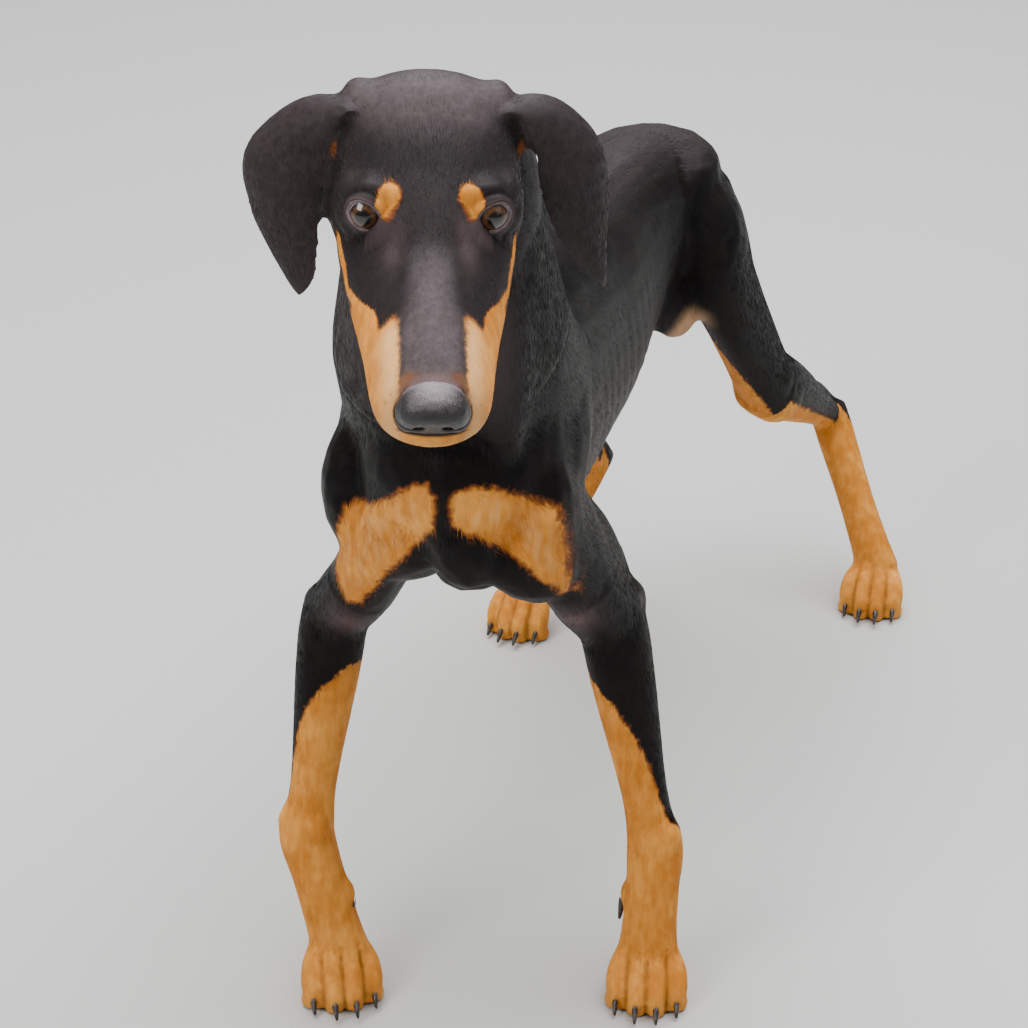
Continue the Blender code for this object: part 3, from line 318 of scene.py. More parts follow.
def clouds(points, size, seed=0.0):
    """Smooth value noise from 0 to 1 at points, with cells of one size."""
    q = points / size
    cell = np.floor(q)
    f = q - cell
    f = f * f * (3 - 2 * f)
    total = 0.0
    for corner in range(8):
        step_to = np.array([(corner >> k) & 1 for k in range(3)], float)
        key = cell + step_to
        value = np.sin(key @ np.array([127.1, 311.7, 74.7]) + seed * 13.7) * 43758.5453
        weight = np.where(step_to > 0, f, 1 - f).prod(1)
        total = total + weight * (value - np.floor(value))
    return total


def outline_distance(x, y, outline):
    """Distance from points to a closed outline, positive inside it."""
    corners = np.array(outline, float)
    best = np.full(len(x), 1e9)
    inside = np.zeros(len(x), bool)
    for (ax, ay), (bx, by) in zip(corners, np.roll(corners, -1, 0)):
        dx, dy = bx - ax, by - ay
        t = np.clip(((x - ax) * dx + (y - ay) * dy) / (dx * dx + dy * dy), 0, 1)
        best = np.minimum(best, np.hypot(x - ax - t * dx, y - ay - t * dy))
        crosses = ((ay > y) != (by > y)) & (x < (bx - ax) * (y - ay) / (by - ay + 1e-15) + ax)
        inside ^= crosses
    return np.where(inside, best, -best)


def middle_of(name):
    at = points_of(NODES[name].data)
    return Vector((at.min(0) + at.max(0)) / 2)


HEAD_PLACE = (middle_of("left_eye") + middle_of("right_eye")) / 2
HEAD_PLACE = HEAD_PLACE - HEAD_TURN @ Vector((0, EYE_PLACE.y, EYE_PLACE.z))


NOSE_TREE = BVHTree.FromPolygons(
    points_of(NODES["nose"].data).tolist(), [tuple(f.vertices) for f in NODES["nose"].data.polygons]
)


def from_nose(points):
    """Distance from points to the nose pad, at most a centimetre."""
    far = np.full(len(points), 0.01)
    for index in np.flatnonzero(in_head(points)[:, 1] < -0.080).tolist():
        far[index] = NOSE_TREE.find_nearest(points[index])[3]
    return far


def in_head(points):
    return (points - np.array(HEAD_PLACE)) @ np.array(HEAD_TURN)


def from_head(local):
    return local @ np.array(HEAD_TURN).T + np.array(HEAD_PLACE)


def shown(name, mesh, material, nodes=(), smooth=True):
    piece = bpy.data.objects.new(name, mesh)
    bpy.context.scene.collection.objects.link(piece)
    mesh.materials.clear()
    mesh.materials.append(material)
    mesh.polygons.foreach_set("use_smooth", np.full(len(mesh.polygons), smooth))
    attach(piece, "root")
    if nodes:
        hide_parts(*nodes)
    return piece


# The skin

FLESH = [n for n in sorted(NODES) if not any(w in n for w in ("claw", "eye", "nose"))]
CORE_DEPTH = {"head": 0.0006, "lower_jaw": 0.0006, "_ear": EAR_SWELL, "paw": 0.0003, "pastern": 0.0005}
SMOOTHING = {"head": 0.75, "jaw": 0.75, "_ear": 0.55, "paw": 0.25, "pastern": 0.8}


def welded_copy(name, push):
    shape = bmesh.new()
    shape.from_mesh(NODES[name].data)
    bmesh.ops.remove_doubles(shape, verts=shape.verts, dist=1e-5)
    bmesh.ops.recalc_face_normals(shape, faces=shape.faces)
    shape.normal_update()
    moves = [v.normal * push for v in shape.verts]
    for vert, move in zip(shape.verts, moves):
        vert.co += move
    return shape


def eye_centre(side):
    return HEAD_PLACE + HEAD_TURN @ Vector((side * EYE_PLACE.x, EYE_PLACE.y, EYE_PLACE.z))


def eye_axes(side):
    """The eye's own axes in the row frame: outwards across, up, and along the gaze."""
    flat = Vector((side * math.sin(GAZE_OUT), -math.cos(GAZE_OUT), 0)) * math.cos(GAZE_UP)
    gaze = HEAD_TURN @ Vector((flat.x, flat.y, math.sin(GAZE_UP)))
    out = HEAD_TURN @ Vector((side, 0, 0.16))
    out = (out - gaze * out.dot(gaze)).normalized()
    return out, out.cross(gaze) * (1 if out.cross(gaze).z > 0 else -1), gaze


def remeshed(mesh, size):
    piece = bpy.data.objects.new("remesh", mesh)
    bpy.context.scene.collection.objects.link(piece)
    change = piece.modifiers.new("voxels", "REMESH")
    change.mode = "VOXEL"
    change.voxel_size = size
    made = bpy.data.meshes.new_from_object(piece.evaluated_get(bpy.context.evaluated_depsgraph_get()))
    bpy.data.objects.remove(piece)
    return made


def largest_piece(shape):
    """Keeps the largest joined surface."""
    shape.verts.ensure_lookup_table()
    seen = np.zeros(len(shape.verts), bool)
    pieces = []
    for start in shape.verts:
        if seen[start.index]:
            continue
        seen[start.index] = True
        found, queue = [start], [start]
        while queue:
            vert = queue.pop()
            for edge in vert.link_edges:
                other = edge.other_vert(vert)
                if not seen[other.index]:
                    seen[other.index] = True
                    found.append(other)
                    queue.append(other)
        pieces.append(found)
    pieces.sort(key=len)
    for piece in pieces[:-1]:
        bmesh.ops.delete(shape, geom=piece, context="VERTS")


def refined(mesh, chosen):
    """The faces whose middle is chosen, split in four."""
    shape = bmesh.new()
    shape.from_mesh(mesh)
    shape.faces.ensure_lookup_table()
    middles = read(mesh.polygons, "center", 3).astype(float)
    edges = set()
    for index in np.flatnonzero(chosen(middles)):
        edges.update(shape.faces[index].edges)
    bmesh.ops.subdivide_edges(shape, edges=list(edges), cuts=1, use_grid_fill=True)
    shape.to_mesh(mesh)
    shape.free()
    mesh.update()


class Regions:
    """Which CAD node lies nearest to a point."""

    def __init__(self):
        points, faces, self.owner = [], [], []
        for number, name in enumerate(FLESH):
            mesh = NODES[name].data
            start = sum(len(p) for p in points)
            points.append(points_of(mesh))
            for face in mesh.polygons:
                faces.append([start + v for v in face.vertices])
                self.owner.append(number)
        self.points = np.concatenate(points)
        self.tree = BVHTree.FromPolygons(self.points.tolist(), faces)
        self.owner = np.array(self.owner)

    def of(self, points):
        find = self.tree.find_nearest
        return self.owner[[find(p)[2] for p in points.tolist()]]


def by_word(words, default):
    """A number for each flesh node, by the word in its name."""
    return np.array([next((v for w, v in words.items() if w in name), default) for name in FLESH])


def build_skin(regions):
    whole = bmesh.new()
    for name in FLESH + ["nose"]:
        copy = bpy.data.meshes.new("copy")
        shape = welded_copy(name, CLOSING + (EAR_SWELL if "_ear" in name else 0.0))
        shape.to_mesh(copy)
        shape.free()
        whole.from_mesh(copy)
        bpy.data.meshes.remove(copy)
    for _, side in SIDES:
        out, up, gaze = eye_axes(side)
        place = Matrix.Translation(eye_centre(side) - gaze * 0.0006)
        bmesh.ops.create_uvsphere(whole, u_segments=32, v_segments=20, radius=EYE_RADIUS + 0.0009, matrix=place)
        root = HEAD_PLACE + HEAD_TURN @ Vector((side * EAR_ROOT.x, EAR_ROOT.y, EAR_ROOT.z))
        place = Matrix.Translation(root) @ HEAD_TURN.to_4x4() @ Matrix.Diagonal((*EAR_ROOT_SIZE, 1.0))
        bmesh.ops.create_uvsphere(whole, u_segments=24, v_segments=16, radius=1.0, matrix=place)
    mesh = bpy.data.meshes.new("whole")
    whole.to_mesh(mesh)
    mesh = remeshed(mesh, VOXEL)
    shape = bmesh.new()
    shape.from_mesh(mesh)
    largest_piece(shape)
    shape.to_mesh(mesh)
    shape.free()
    near = Neighbours(mesh)
    middle = points_of(mesh)
    region = regions.of(middle)
    points = near.smooth(middle, 16, near.spread(by_word(SMOOTHING, 1.0)[region], 6))
    depth = near.spread(by_word(CORE_DEPTH, 0.0010)[region], 8)
    depth = depth * step(in_head(points)[:, 1], -0.094, -0.084)
    depth = near.spread(np.maximum(depth, 0.0007 * step(from_nose(points), 0.0022, 0.0008)), 3)
    move_points(mesh, points)
    move_points(mesh, points - normals_of(mesh) * (depth + CLOSING)[:, None])

    def fine(middles):
        at = in_head(middles)
        head = (at[:, 1] < 0.085) & (np.abs(at[:, 0]) < 0.085) & (at[:, 2] > -0.085) & (middles[:, 2] > 0.455)
        return head | (middles[:, 2] < 0.052)

    def finest(middles):
        at = in_head(middles)
        eyes = np.zeros(len(at), bool)
        for _, side in SIDES:
            eyes |= np.linalg.norm(middles - np.array(eye_centre(side)), axis=1) < 0.0160
        return eyes | (at[:, 1] < -0.086)

    refined(mesh, fine)
    refined(mesh, finest)
    near = Neighbours(mesh)
    points = points_of(mesh)
    at = in_head(points)
    head = step(at[:, 1], 0.11, 0.09) * (points[:, 2] > 0.44)
    weight = np.maximum(0.9 * head, 0.5 * (points[:, 2] < 0.06))
    points = near.smooth(points, 12, near.spread(weight, 6))
    move_points(mesh, points)
    return mesh


# Lids and lips


def lid_edge(turn):
    """The opening between the lids on the eye, across and up in metres, for an angle round it."""
    c, s = math.cos(turn), math.sin(turn)
    across = 0.0075 * c
    up = (0.0062 if s > 0 else 0.0054) * math.copysign(abs(s) ** 0.92, s)
    corner = max(0.0, -c) ** 5
    return across - 0.0022 * corner, up - 0.0022 * corner


LID_TILT = math.radians(24)


def lid_place(across, up):
    return (
        across * math.cos(LID_TILT) - up * math.sin(LID_TILT),
        across * math.sin(LID_TILT) + up * math.cos(LID_TILT),
    )


EDGE_TURNS = np.linspace(-math.pi, math.pi, 181)
EDGE_REACH = np.array([math.asin(min(math.hypot(*lid_edge(t)) / EYE_RADIUS, 0.96)) for t in EDGE_TURNS])
EDGE_ANGLES = np.array([math.atan2(lid_edge(t)[1], lid_edge(t)[0]) for t in EDGE_TURNS])


def eye_view(points, side):
    """For points near an eye: distance from its centre, metres past the lids' edge, turn from the gaze, height, way."""
    out, up, gaze = (np.array(v) for v in eye_axes(side))
    d = points - np.array(eye_centre(side))
    far = np.linalg.norm(d, axis=1)
    n = d / far[:, None]
    x, y, z = n @ out, n @ up, n @ gaze
    c, s = math.cos(-LID_TILT), math.sin(-LID_TILT)
    across, upward = x * c - y * s, x * s + y * c
    order = np.argsort(EDGE_ANGLES)
    edge = np.interp(np.arctan2(upward, across), EDGE_ANGLES[order], EDGE_REACH[order])
    turn = np.arctan2(np.hypot(across, upward), z)
    return far, (turn - edge) * EYE_RADIUS, turn, upward, n


def shape_lids(points):
    for _, side in SIDES:
        near = np.linalg.norm(points - np.array(eye_centre(side)), axis=1) < 0.021
        chosen = np.flatnonzero(near)
        far, beyond, turn, upward, n = eye_view(points[chosen], side)
        upper = step(upward, -0.25, 0.25)
        lid = EYE_RADIUS + 0.0012 + 0.0006 * upper
        radius = np.where(turn < 1.9, np.maximum(far, EYE_RADIUS + 0.0009), far)
        hold = step(beyond, 0.0064, 0.0016) * step(turn, 1.85, 1.30)
        radius = radius * (1 - hold) + lid * hold
        radius = radius - 0.0008 * hill(beyond, 0.0036, 0.0009) * (0.45 + 0.55 * upper)
        radius = radius + 0.0004 * hill(beyond, 0.0018, 0.0009)
        opened = step(beyond, 0.0004, -0.0004)
        radius = radius * (1 - opened) + (EYE_RADIUS - 0.0030) * opened
        points[chosen] = np.array(eye_centre(side)) + n * radius[:, None]
    return points


def mouth_line(points):
    """How near each point is to the line between the lips, from 0 to 1."""
    trees = []
    for name in ("head", "lower_jaw"):
        mesh = NODES[name].data
        faces = [tuple(f.vertices) for f in mesh.polygons]
        trees.append(BVHTree.FromPolygons(points_of(mesh).tolist(), faces))
    at = in_head(points)
    close = np.flatnonzero((at[:, 1] < 0.0) & (at[:, 2] < 0.0) & (np.abs(at[:, 0]) < 0.05))
    line = np.zeros(len(points))
    for index in close.tolist():
        gaps = [tree.find_nearest(points[index])[3] for tree in trees]
        if max(gaps) < 0.006:
            line[index] = math.exp(-((max(gaps) / 0.0017) ** 2))
    return line * step(at[:, 1], -0.012, -0.028)


# Markings

RIGHT_CHEST = (
    (-0.0135, 0.3620), (-0.0090, 0.3544), (-0.0088, 0.3454), (-0.0115, 0.3353), (-0.0212, 0.3211),
    (-0.0338, 0.3050), (-0.0461, 0.2901), (-0.0593, 0.2712), (-0.0669, 0.2610), (-0.0762, 0.2600),
    (-0.0804, 0.2699), (-0.0860, 0.2798), (-0.0800, 0.3061), (-0.0737, 0.3225), (-0.0572, 0.3328),
    (-0.0418, 0.3444), (-0.0293, 0.3548), (-0.0216, 0.3598),
)
LEFT_CHEST = (
    (-0.0008, 0.3585), (0.0089, 0.3630), (0.0184, 0.3608), (0.0270, 0.3549), (0.0369, 0.3468),
    (0.0449, 0.3414), (0.0473, 0.3286), (0.0484, 0.3107), (0.0497, 0.2955), (0.0477, 0.2758),
    (0.0443, 0.2835), (0.0405, 0.2965), (0.0317, 0.3085), (0.0214, 0.3195), (0.0134, 0.3290),
    (0.0026, 0.3350), (-0.0020, 0.3385), (-0.0032, 0.3475), (-0.0025, 0.3549),
)
# Each foreleg: elbow, wrist; black lies round the outer side, narrower down the leg
FORELEGS = {
    "left": (Vector((0.0506, -0.1067, 0.2261)), Vector((0.0807, -0.1167, 0.0905))),
    "right": (Vector((-0.0985, -0.1467, 0.2270)), Vector((-0.1091, -0.1727, 0.0960))),
}
ELBOW_PATCHES = {"left": (0.0435, -0.1500, 0.2510), "right": (-0.0800, -0.1735, 0.2400)}
BLACK_DOWN = (0.08, 0.15, 0.25, 0.37, 0.52, 0.65, 0.85, 0.93)
BLACK_WIDE = (185.0, 150.0, 108.0, 78.0, 55.0, 38.0, 20.0, -12.0)
HIND_JOINTS = {
    "left": (Vector((0.0091, 0.2305, 0.3250)), Vector((0.0466, 0.2774, 0.1991)), Vector((0.0678, 0.3978, 0.1230))),
    "right": (Vector((-0.0639, 0.2302, 0.3250)), Vector((-0.0799, 0.1527, 0.2150)), Vector((-0.0759, 0.2853, 0.1230))),
}
HIND_ANKLES = {
    "left": Vector((0.1146, 0.3593, 0.0300)),
    "right": Vector((-0.1144, 0.2533, 0.0300)),
}
EAR_BASE_TAN, EAR_BASE_REACH = (0.0412, 0.0420, 0.0040), (0.0026, 0.0070, 0.0070)
INNER_THIGH_TURN = 118.0
INNER_THIGH_DOWN = (0.15, 0.35, 0.60, 1.00)
INNER_THIGH_WIDE = (-12.0, 18.0, 34.0, 48.0)
HEEL_DOWN = (-0.15, 0.0, 0.12, 0.25, 0.42)
HEEL_WIDE = (170.0, 100.0, 58.0, 30.0, -12.0)
GROIN, GROIN_REACH = (0.006, 0.168, 0.275), (0.030, 0.038, 0.019)
VENT, VENT_REACH = (-0.0277, 0.2990, 0.3230), (0.017, 0.020, 0.020)
# Brow spot in the head's frame: off the middle, y, half width, half length
BROW_SPOT = (0.0182, -0.0006, 0.0064, 0.0080)
# Each paw: its middle on the floor when drawn, the way its toes point, and its width
HEAD_DRAWN = Vector((0.02386487, -0.32087849, 0.5450))
PAWS = (
    (0.08106, -0.12868, math.radians(14), 0.047),
    (-0.08944, -0.17968, math.radians(28), 0.047),
    (0.11456, 0.35532, math.radians(4), 0.045),
    (-0.11444, 0.24932, math.radians(-4), 0.045),
)
THIGHS_AND_ARMS = [n for n in FLESH if "thigh" in n or "upper_arm" in n]
BETWEEN_TOES = (-0.2515, 0.0, 0.2515)
TAN_EDGE_Y = (-0.0560, -0.0490, -0.0428, -0.0330, -0.0183, -0.0051, 0.0102, 0.0170)
TAN_EDGE_Z = (-0.0070, -0.0094, -0.0116, -0.0176, -0.0235, -0.0215, -0.0215, -0.0225)


def toe_grooves(points):
    """How near each point is to a cleft between two toes, from 0 to 1."""
    moved = HEAD_PLACE - HEAD_DRAWN
    cleft = np.zeros(len(points))
    for x, y, turn, width in PAWS:
        away = points[:, :2] - np.array([x + moved.x, y + moved.y])
        forward = away @ np.array([math.sin(turn), -math.cos(turn)])
        across = away @ np.array([math.cos(turn), math.sin(turn)])
        near = (np.abs(forward) < 0.05) & (np.abs(across) < 0.03) & (points[:, 2] < 0.036)
        fan = (0.80 + 12 * forward).clip(0.55, 1.0) * width
        reach = step(forward, 0.004, 0.013) * near
        for place in BETWEEN_TOES:
            cleft = np.maximum(cleft, hill(across, place * fan, 0.0011) * reach)
    return cleft


def around(points, top, bottom, outward, front):
    """Share of the way down a limb, and the angle round it from outward towards the front."""
    a, b = np.array(top), np.array(bottom)
    axis = (b - a) / np.linalg.norm(b - a)
    d = points - a
    down = d @ axis
    d = d - down[:, None] * axis
    x = np.array(outward) - axis * np.dot(outward, axis)
    y = np.array(front) - axis * np.dot(front, axis)
    return down / np.linalg.norm(b - a), np.degrees(np.arctan2(d @ unit(y), d @ unit(x)))


def vent_and_belly(points, names, normal):
    """Bare skin under the belly, the tan patch under the tail, and the pale groin."""
    trunk = np.isin(names, ["belly", "rump", "chest"])
    under = step(-normal[:, 2], 0.55, 0.9) * trunk * step(points[:, 1], 0.0, 0.08)
    groin = np.linalg.norm((points - np.array(GROIN)) / np.array(GROIN_REACH), axis=1)
    groin = step(groin, 1.2, 0.5) * step(-normal[:, 2] + 0.9, 0.0, 0.4)
    vent = np.linalg.norm((points - np.array(VENT)) / np.array(VENT_REACH), axis=1)
    return np.maximum(0.55 * under, 0.50 * groin), step(vent, 1.1, 0.75) * (names == "rump"), groin


def markings(points, region, normal):
    """Tan, pale, bare, painted sheen and leather, from 0 to 1, at points of the skin, by place on the body; the leather
    also holds painted shadow between the toes.
    """
    fringe = (clouds(points, 0.0022, 1) - 0.5) + 0.6 * (clouds(points, 0.0009, 2) - 0.5)
    names = np.array(FLESH)[region]
    at = in_head(points)
    side, y, z = np.abs(at[:, 0]), at[:, 1], at[:, 2]
    tan, pale, dust, leather = (np.zeros(len(points)) for _ in range(4))
    bare, vent, groin = vent_and_belly(points, names, normal)
    tan = np.maximum(tan, vent)
    front = np.isin(names, ["chest", "neck", "left_upper_arm", "right_upper_arm"])
    front &= (points[:, 1] < -0.13) & (normal[:, 1] < 0.1)
    forward = step(-normal[front, 1], 0.0, 0.30)
    streaks = clouds(points[front] * np.array([1.0, 1.0, 0.25]), 0.0022, 7)
    for outline in (RIGHT_CHEST, LEFT_CHEST):
        inside = outline_distance(points[front, 0], points[front, 2], outline)
        patch = step(inside + 0.0030 * fringe[front], -0.0030, 0.0048) * forward
        tan[front] = np.maximum(tan[front], patch)
        light = step(streaks, 0.35, 0.9) * step(inside, 0.001, 0.009)
        pale[front] = np.maximum(pale[front], 0.30 * patch * light)
    for name, wing in SIDES:
        top, bottom = FORELEGS[name]
        limb = np.isin(names, [name + "_forearm", name + "_front_pastern", name + "_front_paw"])
        t, angle = around(points[limb], top, bottom, (wing, 0, 0), (0, -1, 0))
        off = np.abs((angle + 3 + 180) % 360 - 180)
        black = (np.interp(t, BLACK_DOWN, BLACK_WIDE) - off) * 0.00023
        tan[limb] = step(-black + 0.0026 * fringe[limb], -0.0016, 0.0024)
        inner = hill(np.linalg.norm(points - np.array(ELBOW_PATCHES[name]), axis=1), 0.0, 0.0125)
        bare = np.maximum(bare, 0.62 * inner * step(0.35 * fringe - normal[:, 1], 0.0, 0.5) * (1 - tan))
        hip, knee, hock = HIND_JOINTS[name]
        limb = names == name + "_thigh"
        t, angle = around(points[limb], hip, knee, (wing, 0, 0), (0, -1, 0))
        off = np.abs((angle - INNER_THIGH_TURN + 180) % 360 - 180)
        strip = np.interp(t, INNER_THIGH_DOWN, INNER_THIGH_WIDE) - off
        tan[limb] = np.maximum(tan[limb], step(strip * 0.00035 + 0.0016 * fringe[limb], -0.0012, 0.0014))
        limb = names == name + "_lower_leg"
        t, angle = around(points[limb], knee, hock, (wing, 0, 0), (0, 0.53, 0.85))
        turned = np.where(angle < -90, angle + 360, angle)
        black = np.minimum(turned + 24, 150 + 75 * step(t, 0.78, 0.95) - turned) * 0.00025
        tan[limb] = step(-black + 0.0020 * fringe[limb], -0.0014, 0.0016)
        limb = names == name + "_hind_pastern"
        t, angle = around(points[limb], hock, HIND_ANKLES[name], (wing, 0, 0), (0, -1, 0))
        off = np.abs((angle + 90 + 180) % 360 - 180)
        black = (np.interp(t, HEEL_DOWN, HEEL_WIDE) - off) * 0.00022
        tan[limb] = step(-black + 0.0018 * fringe[limb], -0.0014, 0.0018)
        tan[names == name + "_hind_paw"] = 1.0
    tan, pale = np.maximum(tan, 0.70 * groin), np.maximum(pale, 0.75 * groin)
    # the face
    face = np.isin(names, ["head", "lower_jaw"])
    muzzle = step(side + 0.0018 * fringe, 0.0126, 0.0162) * step(y, -0.052 + 0.2 * (side - 0.018).clip(0), -0.060)
    edge = np.interp(y, TAN_EDGE_Y, TAN_EDGE_Z)
    cheek = step(edge - z + 0.0012 * fringe, -0.0008, 0.0012) * step(y, 0.018, 0.012) * (side > 0.017)
    below = step(edge - z, 0.0045, 0.0062) * step(y, -0.034, -0.020)
    cheek = cheek * (1 - below * step(z, -0.052, -0.044))
    peak = hill(side, 0.0213, 0.0020) * step(y, -0.0600, -0.0545) * step(z, -0.013, -0.009)
    throat = step(-z, 0.046, 0.052) * step(y, 0.030, 0.018) * (points[:, 2] < 0.51)
    above_nose = (0.24 + 0.16 * hill(side, 0.0110, 0.0040)) * step(y, -0.0830, -0.0920)
    lips = step(y, -0.0955, -0.0985) * step(z, -0.022, -0.027)
    a, b = side - BROW_SPOT[0], y - BROW_SPOT[1]
    a, b = a + 0.22 * b, b - 0.10 * a
    spots = step(1 - np.hypot(a / BROW_SPOT[2], b / BROW_SPOT[3]) + 0.22 * fringe, -0.12, 0.30) * (z > 0.002)
    inside = np.maximum.reduce([muzzle * (1 - peak), cheek * (1 - peak), throat, above_nose, spots, lips])
    tan[face] = inside[face]
    cream = 0.75 * hill(side, 0.0175, 0.0052) * step(y, -0.052, -0.066)
    cream = np.maximum(cream, 0.14 * step(y, -0.070, -0.092) * step(z, -0.016, -0.022))
    pale[face] = (cream * inside)[face]
    # painted sheen: a lighter grey-brown on the bridge, the skull and the rest of the face, standing in for overhead
    # light reflecting on the black coat
    lower = step(y, -0.045, -0.070)
    bridge = hill(side, 0.0, 0.0110) * (1 - lower) + step(side, 0.0180, 0.0105) * lower
    bridge = bridge * step(y, -0.004, -0.046)
    skull = (0.86 - 0.56 * step(y, 0.055, 0.095)) * step(y, 0.004, 0.045) * step(z, 0.012, 0.030)
    dust[face] = np.maximum(np.maximum(0.95 * bridge, skull), 0.22)[face] * (0.80 + 0.4 * fringe[face])
    ears = np.isin(names, ["left_ear", "right_ear"])
    # painted sheen on the ears
    dust[ears] = 0.36 + 0.18 * fringe[ears]
    base = np.linalg.norm((np.stack([side, y, z], 1) - np.array(EAR_BASE_TAN)) / np.array(EAR_BASE_REACH), axis=1)
    base = step(base + 0.25 * fringe, 1.15, 0.65)
    tan = np.maximum(tan, 0.45 * base * (face | ears))
    lining = step(-np.sign(at[:, 0]) * (normal @ np.array(HEAD_TURN))[:, 0], 0.35, 0.75)
    bare[ears] = (0.5 * lining)[ears]
    trunk = np.isin(names, ["neck", "chest", "belly", "rump"]) | np.isin(names, THIGHS_AND_ARMS)
    # painted sheen on the upward-facing back, neck and upper legs, where the light from above reflects
    dust = np.maximum(dust, 0.30 * step(normal[:, 2], 0.50, 1.05) * trunk)
    # painted sheen on the front of the neck
    throat_front = step(points[:, 2], 0.365, 0.45) * step(points[:, 1], -0.16, -0.24) * step(-normal[:, 1], 0.1, 0.9)
    dust = np.maximum(dust, 0.55 * throat_front * (names == "neck"))
    # rims of the lids and the thin-haired skin under the eyes
    for _, wing in SIDES:
        far, beyond = eye_view(points, wing)[:2]
        rim = step(beyond, 0.0022, 0.0004) * (far < 0.02) * (1 - spots)
        bare = np.maximum(bare, 0.45 * rim)
    under = hill(side, 0.0160, 0.0042) * hill(y, -0.0165, 0.0100) * (z > -0.03) * face
    bare = np.maximum(bare, 0.40 * under * (1 - tan))
    # pads under the paws, and painted shadow in the clefts between the toes
    paws = np.isin(names, [n for n in FLESH if "paw" in n])
    leather[paws] = (step(-normal[:, 2], 0.62, 0.85) * step(points[:, 2], 0.010, 0.005))[paws]
    # painted shadow: the clefts between the toes darkened with the leather colour
    leather = np.maximum(leather, 0.45 * toe_grooves(points) * paws)
    pad = from_nose(points)
    upward = step((normal @ np.array(HEAD_TURN))[:, 2], 0.35, 0.75)
    leather = np.maximum(leather, step(pad, 0.0018, 0.0004) * (1 - upward))
    bare = np.maximum(bare, 0.75 * step(pad, 0.0036, 0.0006) * upward * face)
    dots = step(clouds(points, 0.0021, 21), 0.80, 0.95) * step(y, -0.066, -0.078) * step(side, 0.0125, 0.0150)
    leather = np.maximum(leather, 0.30 * dots * face)
    return {"tan": tan, "pale": pale, "bare": bare, "dust": dust.clip(0, 1), "leather": leather}


# Small forms of the body under the coat


def sculpted(points, normal, names):
    """Ribs, and the soft unevenness of the skin."""
    trunk = np.isin(names, ["chest", "belly"])
    x, y, z = points.T
    flank = step(np.abs(normal[:, 0]), 0.55, 0.85) * trunk
    reach = step(y, -0.075, -0.045) * step(y, 0.150, 0.110) * step(z, 0.262, 0.285) * step(z, 0.375, 0.345)
    ribs = 0.5 - 0.5 * np.cos((y + 0.38 * (z - 0.30)) * (2 * math.pi / 0.0165))
    depth = 0.00055 * ribs * flank * reach
    body = np.isin(names, ["chest", "belly", "rump"]) | np.isin(names, [n for n in FLESH if "thigh" in n])
    depth = depth + 0.0006 * clouds(points, 0.024, 11) * body
    return points - normal * depth[:, None]


# Lie and length of the coat

LIE = {
    "neck": (0.0, 0.35, -1.0),
    "chest": (0.0, 0.75, -0.70),
    "belly": (0.0, 0.90, -0.45),
    "rump": (0.0, 0.75, -0.70),
    "tail": (0.0, 0.85, -0.45),
    "upper_arm": (0.0, 0.25, -1.0),
    "forearm": (0.0, 0.12, -1.0),
    "front_pastern": (0.0, 0.0, -1.0),
    "thigh": (0.0, 0.35, -1.0),
    "lower_leg": (0.0, 0.55, -0.80),
    "hind_pastern": (0.0, -0.10, -1.0),
    "paw": (0.0, -1.0, -0.6),
    "_ear": (0.0, -0.05, -1.0),
}
COAT_LENGTH = {
    "head": 0.0040, "jaw": 0.0036, "_ear": 0.0040, "paw": 0.0028, "pastern": 0.0040, "forearm": 0.0050,
    "lower_leg": 0.0055, "neck": 0.0072, "thigh": 0.0068, "upper_arm": 0.0062,
}
BODY_LENGTH = 0.0070
COAT_DENSITY = {
    "head": 0.85, "jaw": 0.8, "_ear": 0.90, "paw": 0.85, "pastern": 0.70, "forearm": 0.62, "lower_leg": 0.62,
    "neck": 0.62, "chest": 0.40, "belly": 0.40, "rump": 0.40, "thigh": 0.62,
}
BODY_DENSITY = 0.50


def coat_lie(mesh, points, region, near):
    table = np.array([next((v for w, v in LIE.items() if w in name), (0, 0.6, -0.8)) for name in FLESH], float)
    lie = unit(table[region])
    at = in_head(points)
    away = unit(at - np.array([0, -0.112, -0.022]))
    on_head = np.isin(region, [FLESH.index("head"), FLESH.index("lower_jaw")])
    lie[on_head] = (away @ np.array(HEAD_TURN).T)[on_head]
    lie = near.spread(lie, 30)
    normal = normals_of(mesh)
    lie = unit(lie - normal * dot(lie, normal)[:, None])
    lie = near.spread(lie, 4)
    return unit(lie - normal * dot(lie, normal)[:, None])


# Build

camera_and_light()
regions = Regions()
skin = build_skin(regions)
points = points_of(skin)
line = mouth_line(points)
points = points - normals_of(skin) * (0.0016 * line)[:, None]
points = shape_lids(points)
move_points(skin, points)
region = regions.of(points)
near = Neighbours(skin)
lie = coat_lie(skin, points, region, near)
points = points - normals_of(skin) * (0.0010 * toe_grooves(points))[:, None]
points = sculpted(points, normals_of(skin), np.array(FLESH)[region])
move_points(skin, points)
paint = markings(points, region, normals_of(skin))
paint["leather"] = np.maximum(paint["leather"], 0.9 * step(line, 0.30, 0.75))
carry(skin, shade=0.5 * clouds(points, 0.004, 5), down=np.abs(lie[:, 2]), **paint)
skin_finish = coat_finish("coat close to the skin", True)
shown("skin", skin, skin_finish, FLESH)
print("skin faces", len(skin.polygons), "triangles", len(skin.loops) - 2 * len(skin.polygons), flush=True)

